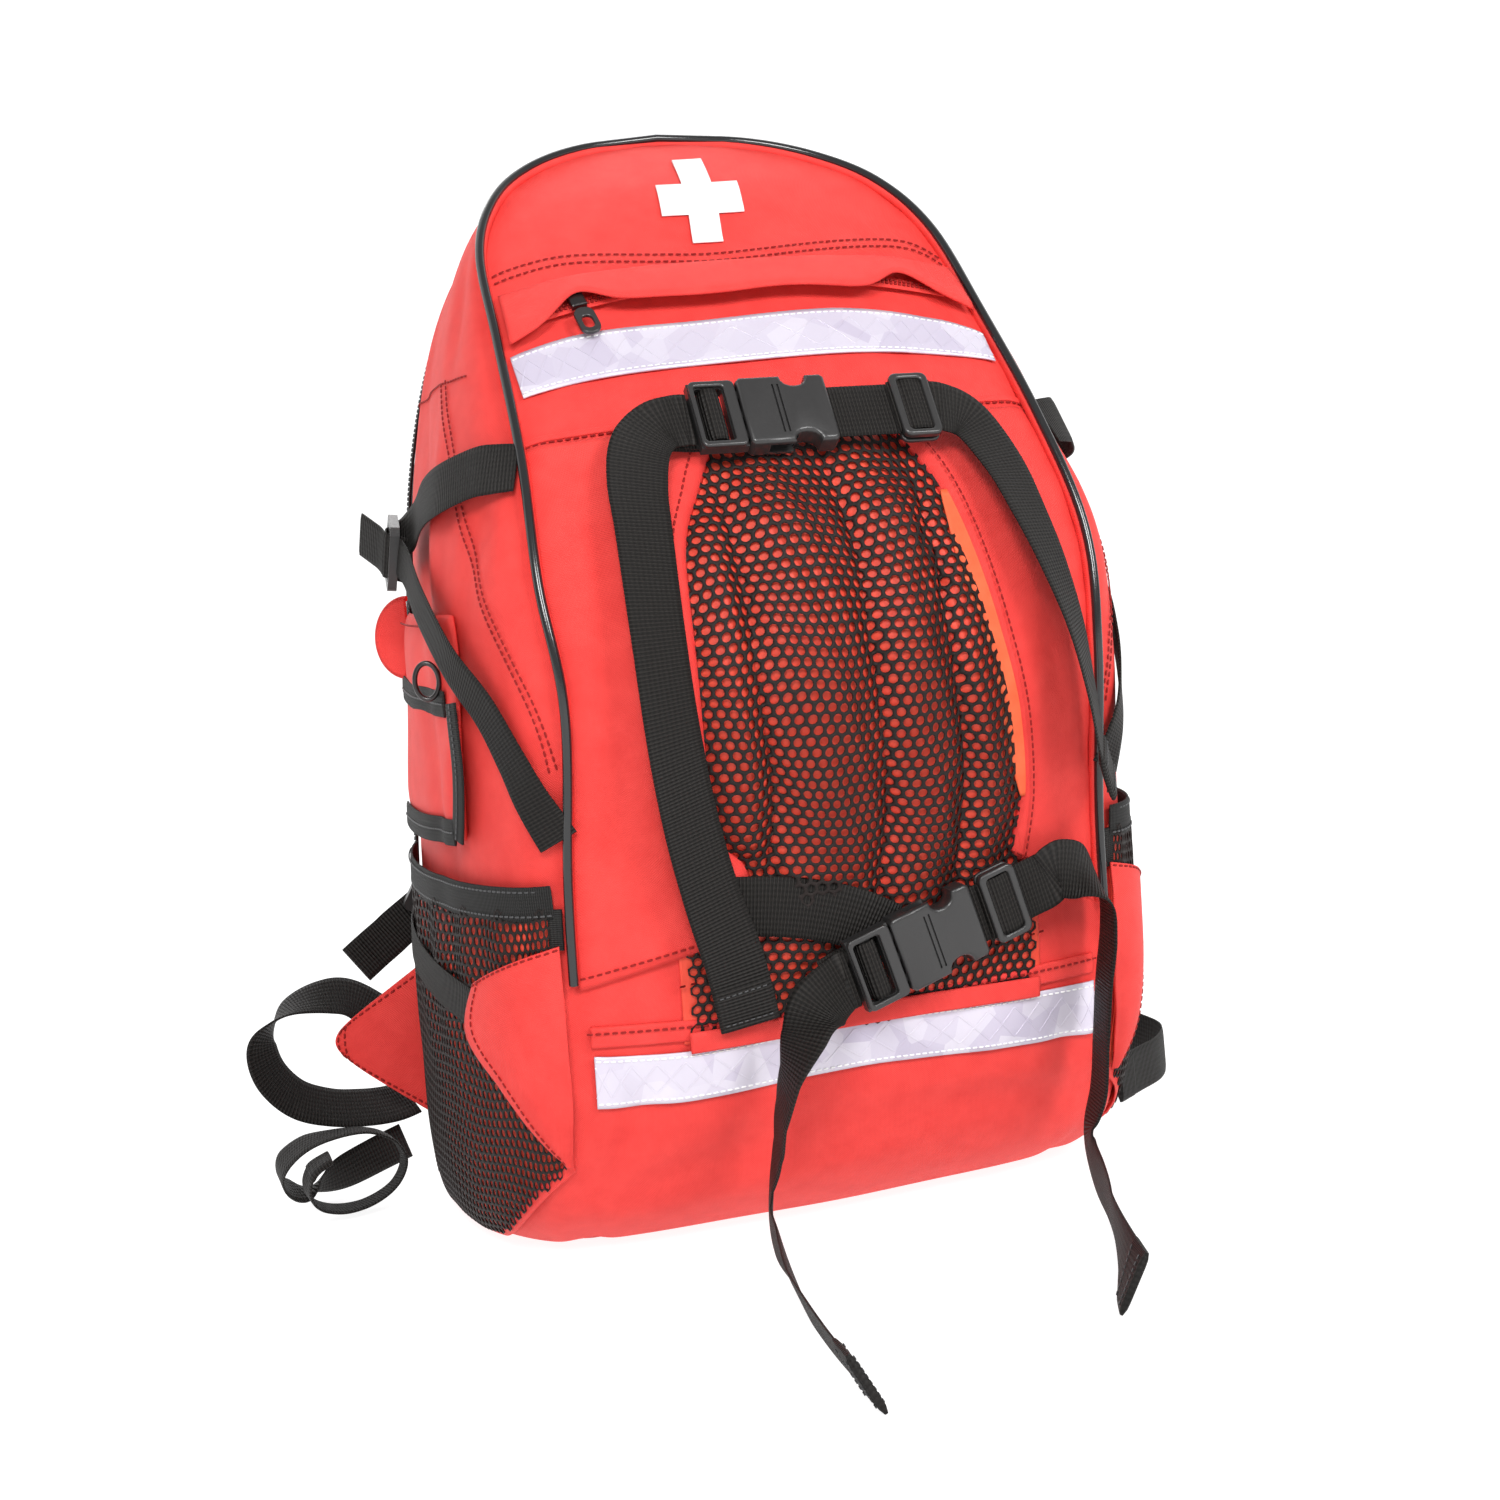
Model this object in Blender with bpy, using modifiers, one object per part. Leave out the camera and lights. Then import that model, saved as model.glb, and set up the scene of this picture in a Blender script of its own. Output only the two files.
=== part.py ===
"""Trauma backpack: a stuffed red pack that stands on its base, front towards -Y.

The skin of the pack is one smooth surface, body_point(a, t).  The number t climbs through
the STATIONS, from the base to the crown.  The number a runs round the pack: 0 is the middle
of the front face, 1 the piped front seam on the right, 2 the rear seam on the right, and
negative values are the left side.  Every patch, strap and pocket is laid on that skin.
Lengths in this file are in millimetres and become metres where a mesh is made.
"""
import math

import bmesh
import bpy
from mathutils import Matrix, Vector

OBJECT_NAME = "trauma_backpack"
MM = 0.001

# Driving dimensions, in millimetres.
REAR_Y = 70.0
FRONT_BULGE = 10.0
CLOTH = 3.0
GAP = 0.4
WEB_WIDE = 25.0
WEB_THICK = 1.4
BUCKLE_WIDE = 33.0
BUCKLE_THICK = 10.0
HINGE_Y = REAR_Y + 6.4
HINGE_Z = 2.0

# Front seam z, y and half width; rear seam z and half width; swell of the side between them.
STATIONS = [
    (0, -58, 100, 0, 132, 20),
    (5, -76, 110, 4, 138, 21),
    (22, -99, 116, 20, 141, 22),
    (55, -115, 118, 55, 141, 24),
    (100, -124, 119, 100, 138, 26),
    (165, -131, 118, 160, 134, 26),
    (235, -147, 116, 228, 129, 25),
    (285, -139, 119, 280, 124, 23),
    (335, -114, 114, 330, 119, 19),
    (385, -76, 109, 376, 108, 14),
    (425, -43, 104, 412, 93, 8),
    (450, -20, 90, 436, 74, 4),
    (466, 0, 68, 452, 52, 2),
    (476, 14, 38, 462, 28, 1),
    (480, 22, 0, 465, 0, 0),
]
TOP = len(STATIONS) - 1

RED = (0.80, 0.045, 0.04)
LINING = (0.75, 0.16, 0.06)
BLACK = (0.018, 0.018, 0.020)
PLASTIC = (0.025, 0.025, 0.027)
SILVER = (0.80, 0.80, 0.88)
WHITE = (0.90, 0.90, 0.90)
METAL = (0.06, 0.05, 0.05)


# ---------------------------------------------------------------- scene and materials

def clear_scene():
    for thing in list(bpy.context.scene.objects):
        bpy.data.objects.remove(thing, do_unlink=True)


def new_collection(name, hidden=False):
    group = bpy.data.collections.new(name)
    bpy.context.scene.collection.children.link(group)
    group.hide_render = hidden
    return group


def principled(name, colour, roughness, metallic=0.0):
    material = bpy.data.materials.new(name)
    material.use_nodes = True
    shader = material.node_tree.nodes["Principled BSDF"]
    shader.inputs["Base Color"].default_value = (*colour, 1.0)
    shader.inputs["Roughness"].default_value = roughness
    shader.inputs["Metallic"].default_value = metallic
    return material


def finish(thing, colour, roughness, metallic=0.0):
    """Give a sub-part its own material."""
    thing.data.materials.clear()
    thing.data.materials.append(principled(thing.name + "_material", colour, roughness, metallic))
    return thing


def mesh_object(name, vertices, faces, group):
    mesh = bpy.data.meshes.new(name)
    mesh.from_pydata([[c * MM for c in v] for v in vertices], [], faces)
    work = bmesh.new()
    work.from_mesh(mesh)
    bmesh.ops.remove_doubles(work, verts=work.verts, dist=0.00002)
    bmesh.ops.recalc_face_normals(work, faces=work.faces)
    work.to_mesh(mesh)
    work.free()
    thing = bpy.data.objects.new(name, mesh)
    group.objects.link(thing)
    return thing


# ---------------------------------------------------------------- the skin of the pack

def blend_rows(rows, t):
    """A smooth curve through equally spaced rows of numbers (Catmull-Rom)."""
    t = min(max(t, 0.0), len(rows) - 1.0)
    i = min(int(t), len(rows) - 2)
    f = t - i
    before = rows[max(i - 1, 0)]
    after = rows[min(i + 2, len(rows) - 1)]
    result = []
    for p0, p1, p2, p3 in zip(before, rows[i], rows[i + 1], after):
        cubic = (3 * p1 - p0 - 3 * p2 + p3) * f ** 3
        square = (2 * p0 - 5 * p1 + 4 * p2 - p3) * f ** 2
        result.append(0.5 * (2 * p1 + (p2 - p0) * f + square + cubic))
    return result


def body_point(a, t, lift=0.0):
    front_z, front_y, front_w, rear_z, rear_w, swell = blend_rows(STATIONS, t)
    if abs(a) <= 1:
        dome = FRONT_BULGE * (1 - a * a) * min(1.0, front_w / 90)
        point = Vector((front_w * a, front_y - dome, front_z))
    else:
        s = min(abs(a) - 1, 1.0)
        side = math.copysign(1, a)
        bow = max(math.sin(math.pi * s ** 0.62), 0.0) ** 0.75
        x = front_w + (rear_w - front_w) * s + swell * bow
        y = front_y + (REAR_Y - front_y) * s
        point = Vector((side * x, y, front_z + (rear_z - front_z) * s))
    if lift:
        point = point + skin_normal(a, t) * lift
    return point


def skin_normal(a, t):
    step_a = 0.02
    step_t = 0.02
    t = min(max(t, step_t), TOP - 2 * step_t)
    a = min(max(a, -2 + step_a), 2 - step_a)
    along = body_point(a + step_a, t) - body_point(a - step_a, t)
    up = body_point(a, t + step_t) - body_point(a, t - step_t)
    return along.cross(up).normalized()


def station_of(z, a):
    """The t at which the skin reaches height z on the line a."""
    low, high = 0.0, float(TOP)
    for _ in range(40):
        middle = (low + high) / 2
        if body_point(a, middle).z < z:
            low = middle
        else:
            high = middle
    return (low + high) / 2


def front(x, z, lift=0.0):
    """A point over the front face, and the skin's normal there."""
    t = station_of(z, 0)
    a = x / blend_rows(STATIONS, t)[2]
    return body_point(a, t, lift), skin_normal(a, t)


def flank(side, s, z, lift=0.0):
    """A point over a side; s is 0 at the front seam and 1 at the rear seam."""
    a = side * (1 + s)
    t = station_of(z, a)
    return body_point(a, t, lift), skin_normal(a, t)


# ---------------------------------------------------------------- makers of pieces

def samples(rows, count):
    last = len(rows) - 1
    return [blend_rows(rows, last * i / (count - 1)) for i in range(count)]


def strip(name, stations, wide, thick, group, folded_end=False):
    """A length of webbing: a rectangle carried along (point, face normal) stations."""
    count = len(stations)
    vertices = []
    for i, (point, normal) in enumerate(stations):
        tangent = stations[min(i + 1, count - 1)][0] - stations[max(i - 1, 0)][0]
        tangent.normalize()
        across = normal.cross(tangent).normalized()
        face = tangent.cross(across)
        half = thick / 2
        if folded_end and i >= count - 3:
            half = thick
        for u, v in ((-1, -1), (1, -1), (1, 1), (-1, 1)):
            vertices.append(point + across * (u * wide / 2) + face * (v * half))
    faces = [(0, 1, 2, 3), tuple(4 * (count - 1) + k for k in (3, 2, 1, 0))]
    for i in range(count - 1):
        for k in range(4):
            n = (k + 1) % 4
            faces.append((4 * i + k, 4 * i + n, 4 * i + 4 + n, 4 * i + 4 + k))
    thing = mesh_object(name, vertices, faces, group)
    return finish(thing, BLACK, 0.85)


def free_strip(name, rows, count, wide, group, folded_end=False):
    """Webbing through rows of (x, y, z, normal x, normal y, normal z)."""
    stations = []
    for row in samples(rows, count):
        stations.append((Vector(row[:3]), Vector(row[3:]).normalized()))
    return strip(name, stations, wide, WEB_THICK, group, folded_end)


def panel(name, surface, columns, rows, thick, group, colour, roughness=0.8, keep=None):
    """A sheet over surface(u, v), thickened outwards by a Solidify modifier."""
    vertices = []
    for j in range(rows + 1):
        for i in range(columns + 1):
            vertices.append(surface(i / columns, j / rows))
    faces = []
    for j in range(rows):
        for i in range(columns):
            if keep is None or keep(i, j):
                k = j * (columns + 1) + i
                faces.append((k, k + 1, k + columns + 2, k + columns + 1))
    mesh = bpy.data.meshes.new(name)
    mesh.from_pydata([[c * MM for c in v] for v in vertices], [], faces)
    work = bmesh.new()
    work.from_mesh(mesh)
    loose = [v for v in work.verts if not v.link_faces]
    bmesh.ops.delete(work, geom=loose, context="VERTS")
    work.to_mesh(mesh)
    work.free()
    thing = bpy.data.objects.new(name, mesh)
    group.objects.link(thing)
    solid = thing.modifiers.new("thickness", "SOLIDIFY")
    solid.thickness = thick * MM
    solid.offset = 1.0
    return finish(thing, colour, roughness)


def plate(name, outline, holes, thick, matrix, group, colour=PLASTIC, roughness=0.35):
    """A flat moulded piece: a filled 2D outline with holes, extruded, then made a mesh."""
    curve = bpy.data.curves.new(name, "CURVE")
    curve.dimensions = "2D"
    curve.fill_mode = "BOTH"
    curve.extrude = thick * MM / 2
    for loop in [outline] + holes:
        spline = curve.splines.new("POLY")
        spline.points.add(len(loop) - 1)
        for point, (x, y) in zip(spline.points, loop):
            point.co = (x * MM, y * MM, 0.0, 1.0)
        spline.use_cyclic_u = True
    drawn = bpy.data.objects.new(name + "_outline", curve)
    group.objects.link(drawn)
    bpy.context.view_layer.update()
    evaluated = drawn.evaluated_get(bpy.context.evaluated_depsgraph_get())
    mesh = bpy.data.meshes.new_from_object(evaluated)
    bpy.data.objects.remove(drawn, do_unlink=True)
    work = bmesh.new()
    work.from_mesh(mesh)
    bmesh.ops.remove_doubles(work, verts=work.verts, dist=0.00002)
    bmesh.ops.recalc_face_normals(work, faces=work.faces)
    work.to_mesh(mesh)
    work.free()
    thing = bpy.data.objects.new(name, mesh)
    thing.matrix_world = metres(matrix)
    group.objects.link(thing)
    return finish(thing, colour, roughness)


def block(name, size, centre, matrix, group, bevel=0.0):
    """A box with rounded edges, placed in a local frame."""
    work = bmesh.new()
    bmesh.ops.create_cube(work, size=1.0)
    for vertex in work.verts:
        vertex.co = Vector([(vertex.co[k] * size[k] + centre[k]) * MM for k in range(3)])
    mesh = bpy.data.meshes.new(name)
    work.to_mesh(mesh)
    work.free()
    thing = bpy.data.objects.new(name, mesh)
    thing.matrix_world = metres(matrix)
    group.objects.link(thing)
    if bevel:
        rounding = thing.modifiers.new("rounding", "BEVEL")
        rounding.width = bevel * MM
        rounding.segments = 2
    return finish(thing, PLASTIC, 0.35)


def cut(thing, size, centre, matrix, cutters):
    """Take a box out of a piece."""
    tool = block(thing.name + "_cutter", size, centre, matrix, cutters)
    tool.hide_render = True
    tool.display_type = "WIRE"
    boolean = thing.modifiers.new("opening", "BOOLEAN")
    boolean.operation = "DIFFERENCE"
    boolean.solver = "EXACT"
    boolean.object = tool


def tube(name, points, radius, group, colour, roughness, cyclic=False):
    curve = bpy.data.curves.new(name, "CURVE")
    curve.dimensions = "3D"
    curve.bevel_depth = radius * MM
    curve.bevel_resolution = 2
    curve.use_fill_caps = not cyclic
    spline = curve.splines.new("POLY")
    spline.points.add(len(points) - 1)
    for target, point in zip(spline.points, points):
        target.co = (*[c * MM for c in point], 1.0)
    spline.use_cyclic_u = cyclic
    thing = bpy.data.objects.new(name, curve)
    group.objects.link(thing)
    curve.materials.append(principled(name + "_material", colour, roughness))
    return thing


def metres(matrix):
    placed = matrix.copy()
    placed.translation = matrix.translation * MM
    return placed


def frame_at(point, normal, slope):
    """A local frame on the skin: x along the strap, sloping up by slope degrees, z outwards."""
    level = Vector((0, 0, 1)).cross(normal).normalized()
    rise = normal.cross(level)
    angle = math.radians(slope)
    x_axis = level * math.cos(angle) + rise * math.sin(angle)
    y_axis = normal.cross(x_axis)
    matrix = Matrix((x_axis, y_axis, normal)).transposed().to_4x4()
    matrix.translation = point
    return matrix


def rounded(wide, high, radius, corner_steps=3):
    """A rectangle with round corners, as points."""
    points = []
    corners = ((1, 1, 0), (-1, 1, 90), (-1, -1, 180), (1, -1, 270))
    for sx, sy, start in corners:
        for k in range(corner_steps + 1):
            angle = math.radians(start + 90 * k / corner_steps)
            x = sx * (wide / 2 - radius) + radius * math.cos(angle)
            y = sy * (high / 2 - radius) + radius * math.sin(angle)
            points.append((x, y))
    return points


# ---------------------------------------------------------------- shell and trim

def main_shell(group):
    steps = 2
    front_steps = 10
    side_steps = 6
    marks = [-2 + i / side_steps for i in range(side_steps)]
    marks += [-1 + 2 * i / front_steps for i in range(front_steps)]
    marks += [1 + i / side_steps for i in range(side_steps + 1)]
    count = len(marks)
    levels = TOP * steps + 1
    vertices = [body_point(a, j / steps) for j in range(levels) for a in marks]
    faces = [tuple(range(count))[::-1]]
    for j in range(levels - 1):
        for i in range(count - 1):
            k = j * count + i
            faces.append((k, k + 1, k + count + 1, k + count))
    shell = mesh_object("main_shell", vertices, faces, group)
    solid = shell.modifiers.new("thickness", "SOLIDIFY")
    solid.thickness = CLOTH * MM
    solid.offset = -1.0
    return finish(shell, RED, 0.75)


def piping(group):
    low = 4.4
    levels = [low + (TOP - low) * i / 20 for i in range(20)]
    points = [body_point(-1, t, 2.7) for t in levels]
    points.append(Vector((0, 19.5, 482.4)))
    points += [body_point(1, t, 2.7) for t in reversed(levels)]
    return tube("front_piping", points, 2.0, group, BLACK, 0.2)


def cross_patch(group):
    arm = 16.0
    span = 44.0
    centre_z = 446.0
    marks = [-span / 2, -arm / 2, 0.0, arm / 2, span / 2]
    narrow, short = 0.87, 0.96

    def surface(u, v):
        return front(marks[round(u * 4)] * narrow, centre_z + marks[round(v * 4)] * short, 1.2)[0]

    def in_cross(i, j):
        return i in (1, 2) or j in (1, 2)

    return panel("cross_patch", surface, 4, 4, 0.8, group, WHITE, 0.5, in_cross)


def reflective_strips(group):
    for name, low_z, high_z in (("upper", 362.0, 382.0), ("lower", 69.0, 92.0)):
        crest = 6.0 if name == "upper" else 0.0

        def surface(u, v, low_z=low_z, high_z=high_z, crest=crest):
            z = low_z + (high_z - low_z) * v + crest * math.sin(math.pi * u)
            a = 0.95 * (2 * u - 1)
            return body_point(a, station_of(z, a), 1.1)

        panel("reflective_strip_" + name, surface, 10, 2, 0.8, group, SILVER, 0.25)


# ---------------------------------------------------------------- front zip pocket

ZIP_HALF = 95.0
ZIP_TOP = 405.0
ZIP_DROP = 12.0
ZIP_SINK = 2.0
ZIP_LIFT = 2.4
SLIDER_X = -73.0
PULL_AT = (0.0, -4.6, 3.4)


def zip_arc():
    """Centre, down direction and radius of the arc that the front zip follows."""
    crown = body_point(0, station_of(ZIP_TOP, 0), ZIP_LIFT)
    sag = math.hypot(ZIP_DROP, ZIP_SINK)
    down = Vector((0, -ZIP_SINK, -ZIP_DROP)).normalized()
    radius = (ZIP_HALF ** 2 + sag ** 2) / (2 * sag)
    return crown + down * radius, down, radius


def on_zip(x, out=0.0):
    centre, down, radius = zip_arc()
    angle = math.asin(x / radius)
    point = centre - down * (radius * math.cos(angle)) + Vector((radius * math.sin(angle), 0, 0))
    outward = front(x, point.z)[1]
    return point + outward * out, outward


def zip_slider_frame():
    point, outward = on_zip(SLIDER_X)
    return frame_at(point, outward, -math.degrees(math.asin(SLIDER_X / zip_arc()[2])))


def front_zip(group):
    stations = [on_zip(-ZIP_HALF + 2 * ZIP_HALF * i / 16, 0.6) for i in range(17)]
    strip("front_zip_tape", stations, 9.0, 1.0, group)

    def flap(u, v):
        a = 0.96 * (2 * u - 1)
        top = 421.0 - 8.0 * abs(2 * u - 1) ** 3
        low = 403.0 - 16.0 * abs(2 * u - 1) ** 3
        z = low + (top - low) * v
        return body_point(a, station_of(z, a), 9.4 - 8.1 * v)

    panel("front_zip_flap", flap, 12, 2, 1.0, group, RED)
    matrix = zip_slider_frame()
    slider = block("front_zip_slider", (7, 8, 3), (0, 0, 3.0), matrix, group, 0.6)
    finish(slider, METAL, 0.3, 0.8)
    tab = rounded(9, 15, 4)
    slot = rounded(4.5, 7, 2.2)
    hinge = matrix @ Matrix.Translation(PULL_AT)
    lowered = [(x, y - 8.0) for x, y in tab]
    hole = [(x, y - 9.0) for x, y in slot]
    plate("front_zip_pull", lowered, [hole], 1.4, hinge, group, BLACK, 0.4)


# ---------------------------------------------------------------- front mesh pocket and wings

def ramp(points, value):
    """Straight-line lookup in a short list of (key, value) pairs with rising keys."""
    for (k0, v0), (k1, v1) in zip(points, points[1:]):
        if value <= k1:
            return v0 + (v1 - v0) * max(value - k0, 0.0) / (k1 - k0)
    return points[-1][1]


WING_EDGE = {
    "left": [(128, 41), (160, 44), (176, 57), (234, 63), (290, 59), (318, 46), (338, 34)],
    "right": [(140, 72), (160, 74), (200, 75), (244, 65), (290, 58), (316, 50), (338, 38)],
}
WING_LOW = {"left": (122.0, 137.0), "right": (123.0, 152.0)}


def front_pocket(group):
    def layer(lift):
        def surface(u, v):
            return front(-68 + 146 * u, 96 + 236 * v, lift)[0]
        return surface

    panel("front_pocket_lining", layer(0.9), 10, 14, 1.2, group, LINING)
    panel("front_pocket_mesh", layer(2.6), 10, 14, 0.8, group, BLACK)
    for name, side in (("left", -1), ("right", 1)):
        outer_low, inner_low = WING_LOW[name]

        def surface(u, v, name=name, side=side, outer_low=outer_low, inner_low=inner_low):
            inward = u if side < 0 else 1 - u
            low = outer_low + (inner_low - outer_low) * inward
            z = low + (338.0 - low) * v
            outer = 0.955 * blend_rows(STATIONS, station_of(z, 1))[2]
            inner = ramp(WING_EDGE[name], z)
            return front(side * (outer + (inner - outer) * inward), z, 4.0)[0]

        panel("front_wing_" + name, surface, 6, 14, 1.2, group, RED)


# ---------------------------------------------------------------- side-release buckle sets

BUCKLES = {
    "upper": dict(x=-7.0, z=337.0, lift=13.0, slope=-2.0),
    "lower": dict(x=30.0, z=126.0, lift=14.0, slope=17.0),
}
FEMALE_LONG = 38.0
MALE_LONG = 20.0
PRONG_LONG = 17.0
SLIDER_AT = {"upper": 56.0, "lower": 33.0}


def buckle_frame(name):
    spot = BUCKLES[name]
    point, normal = front(spot["x"], spot["z"], spot["lift"])
    return frame_at(point, normal, spot["slope"])


def female_buckle(name, group, cutters):
    matrix = buckle_frame(name)
    body = block(name + "_buckle_female", (FEMALE_LONG, BUCKLE_WIDE, BUCKLE_THICK),
                 (0, 0, 0), matrix, group)
    mouth = PRONG_LONG + 4.0
    edge = -FEMALE_LONG / 2
    cut(body, (2 * mouth, BUCKLE_WIDE - 6, 5.2), (edge, 0, 0), matrix, cutters)
    for side in (-1, 1):
        cut(body, (11, 8, 5.2), (edge + 14, side * BUCKLE_WIDE / 2, 0), matrix, cutters)
    cut(body, (5, WEB_WIDE + 1.5, 20), (FEMALE_LONG / 2 - 6.5, 0, 0), matrix, cutters)


def male_buckle(name, group):
    matrix = buckle_frame(name)
    edge = -FEMALE_LONG / 2 - 0.5
    rear = edge - MALE_LONG
    half = BUCKLE_WIDE / 2 - 0.5
    outline = [(rear, -half), (edge, -half), (edge, -11.5), (edge + PRONG_LONG - 5, -12.6),
               (edge + PRONG_LONG, -9.5), (edge + PRONG_LONG - 3, -8.0), (edge, -8.0),
               (edge, -1.6), (edge + PRONG_LONG - 2, -1.6)]
    outline += [(x, -y) for x, y in reversed(outline)]
    slot = [(x + rear + 4.6, y) for x, y in rounded(4.0, WEB_WIDE + 1.5, 1.0, 1)]
    second = [(x + rear + 12.4, y) for x, y in rounded(4.0, WEB_WIDE + 1.5, 1.0, 1)]
    plate(name + "_buckle_male", outline, [slot, second], 4.2, matrix, group)


def web_slider(name, group, cutters):
    matrix = buckle_frame(name) @ Matrix.Translation((SLIDER_AT[name], 0, 0))
    body = block(name + "_web_slider", (17, 31, 6), (0, 0, 0), matrix, group)
    cut(body, (40, WEB_WIDE + 1.4, WEB_THICK + 1.0), (0, 0, 0), matrix, cutters)
    for offset in (-4.2, 4.2):
        cut(body, (3.6, WEB_WIDE + 1.4, 6), (offset, 0, 3), matrix, cutters)


def straight_rows(name, start, end, count):
    """Stations (point, normal) straight along a buckle's own axis."""
    matrix = buckle_frame(name)
    normal = matrix.to_3x3() @ Vector((0, 0, 1))
    rows = []
    for i in range(count):
        x = start + (end - start) * i / (count - 1)
        rows.append((*(matrix @ Vector((x, 0, 0))), *normal))
    return rows


def over_front(x, z, lift, lean=0.0):
    """A row for free_strip over the front face; lean turns the face sideways, in degrees."""
    point, normal = front(x, z, lift)
    turned = Matrix.Rotation(math.radians(lean), 3, "Z") @ normal
    return (*point, *turned)


UPPER_TAIL_LEFT = [
    (-61, 336, 14, -6), (-70, 328, 15, 0), (-75, 314, 15, 10), (-77, 297, 15, 18),
    (-79, 262, 15, 22), (-77, 225, 15, 22), (-71, 190, 15, 20), (-64, 158, 15, 14),
    (-56, 128, 13, 0), (-50, 100, 8.6, -6),
]
UPPER_TAIL_RIGHT = [
    (72, 328, 14, 8), (80, 310, 15, 16), (84, 291, 17, 24), (89, 269, 18.5, 32),
    (95, 246, 19, 42), (101, 222, 19, 52), (107, 198, 19, 58), (113, 182, 19, 60),
]
LOWER_TAIL_LEFT = [
    (-24, 107, 20, -30), (-34, 98, 28, -62), (-41, 84, 30, -92), (-44, 69, 27, -104),
    (-45, 55, 25, -106),
]
LOWER_TAIL_RIGHT = [
    (88, 146, 15, 20), (100, 142, 17, 50), (108, 131, 19, 66), (108, 115, 20, 70),
    (105, 95, 20, 70), (102, 72, 22, 70), (99, 54, 26, 70),
]
FLOOR_LEFT = [
    (-50, -144, 30, -0.96, 0.28, 0), (-54, -153, 17, -0.97, 0.22, -0.05),
    (-58, -176, 13, -0.96, 0.18, -0.2), (-65, -204, 12.6, -0.93, 0.22, -0.3),
    (-72, -232, 12.4, -0.92, 0.20, -0.35), (-77, -262, 12.2, -0.92, 0.14, -0.38),
    (-81, -290, 12.1, -0.90, 0.10, -0.42), (-84, -314, 12, -0.89, 0.08, -0.45),
    (-86, -332, 11.9, -0.88, 0.06, -0.46),
]
FLOOR_RIGHT = [
    (96, -142, 28, 0.96, -0.28, 0), (93, -152, 17, 0.96, -0.28, 0),
    (85, -176, 13, 0.95, -0.32, 0.02), (75, -200, 13, 0.93, -0.36, 0.02),
    (65, -222, 13, 0.93, -0.36, 0.02), (55, -245, 12.6, 0.92, -0.38, -0.1),
    (45, -268, 12.4, 0.88, -0.36, -0.3), (36, -292, 12, 0.82, -0.33, -0.46),
]


def front_webbing(group):
    upper_start = -FEMALE_LONG / 2 - 0.5 - MALE_LONG - 1.2
    rows = straight_rows("upper", upper_start, upper_start - 5, 2)
    rows += [over_front(*row) for row in UPPER_TAIL_LEFT]
    free_strip("upper_tail_left", rows, 30, WEB_WIDE, group, True)
    rows = straight_rows("upper", FEMALE_LONG / 2 + GAP, 68, 5)
    rows += [over_front(*row) for row in UPPER_TAIL_RIGHT]
    free_strip("upper_tail_right", rows, 34, WEB_WIDE, group, True)
    rows = straight_rows("lower", upper_start, upper_start - 5, 3)
    rows += [over_front(*row) for row in LOWER_TAIL_LEFT] + FLOOR_LEFT
    free_strip("lower_tail_left", rows, 46, WEB_WIDE, group, True)
    rows = straight_rows("lower", FEMALE_LONG / 2 + GAP, 55, 5)
    rows += [over_front(*row) for row in LOWER_TAIL_RIGHT] + FLOOR_RIGHT
    free_strip("lower_tail_right", rows, 52, WEB_WIDE, group, True)
    rows = [over_front(-52, 149, 6.6), over_front(-36, 147, 6.8), over_front(-18, 143, 7.0),
            over_front(-2, 137, 7.0), over_front(12, 129, 7.0)]
    free_strip("lower_anchor_webbing", rows, 12, WEB_WIDE, group)


# ---------------------------------------------------------------- the sides

SIDES = (("left", -1), ("right", 1))
LOCK_AT = (0.62, 303.0)


def side_webbing(group):
    for name, side in SIDES:
        rows = []
        for s, z in ((0.014, 332), (0.03, 332), (0.08, 331), (0.20, 326), (0.36, 322), (0.54, 314)):
            point, normal = flank(side, s, z, 3.0)
            rows.append((*point, *normal))
        free_strip("compression_webbing_upper_" + name, rows, 14, 22.0, group)
        rows = []
        over_pouch = 5.8 if side < 0 else 1.2
        for s, z, share in ((0.016, 190, 0.1), (0.03, 202, 0.1), (0.07, 218, 0.1), (0.13, 238, 0.4),
                            (0.22, 258, 0.9), (0.36, 281, 1), (0.50, 296, 1)):
            point, normal = flank(side, s, z, 2.6 + over_pouch * share)
            rows.append((*point, *normal))
        free_strip("compression_webbing_lower_" + name, rows, 18, 16.0, group)
        point, normal = flank(side, *LOCK_AT, 11.5)
        matrix = frame_at(point, normal, 24.0 * side)
        outline = rounded(20, 30, 3)
        holes = [[(x + dx, y) for x, y in rounded(3.6, 23, 1, 1)] for dx in (-5.6, 0, 5.6)]
        plate("compression_lock_" + name, outline, holes, 4.0, matrix, group)


POCKET_FRONT = 0.008
POCKET_REAR = 0.90


def pocket_belly(s):
    """Share of its full fullness that a side pocket has at s: none at its two side edges."""
    share = (s - POCKET_FRONT) / (POCKET_REAR - POCKET_FRONT)
    return max(math.sin(math.pi * min(max(share, 0.0), 1.0)), 0.0) ** 0.6


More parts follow.
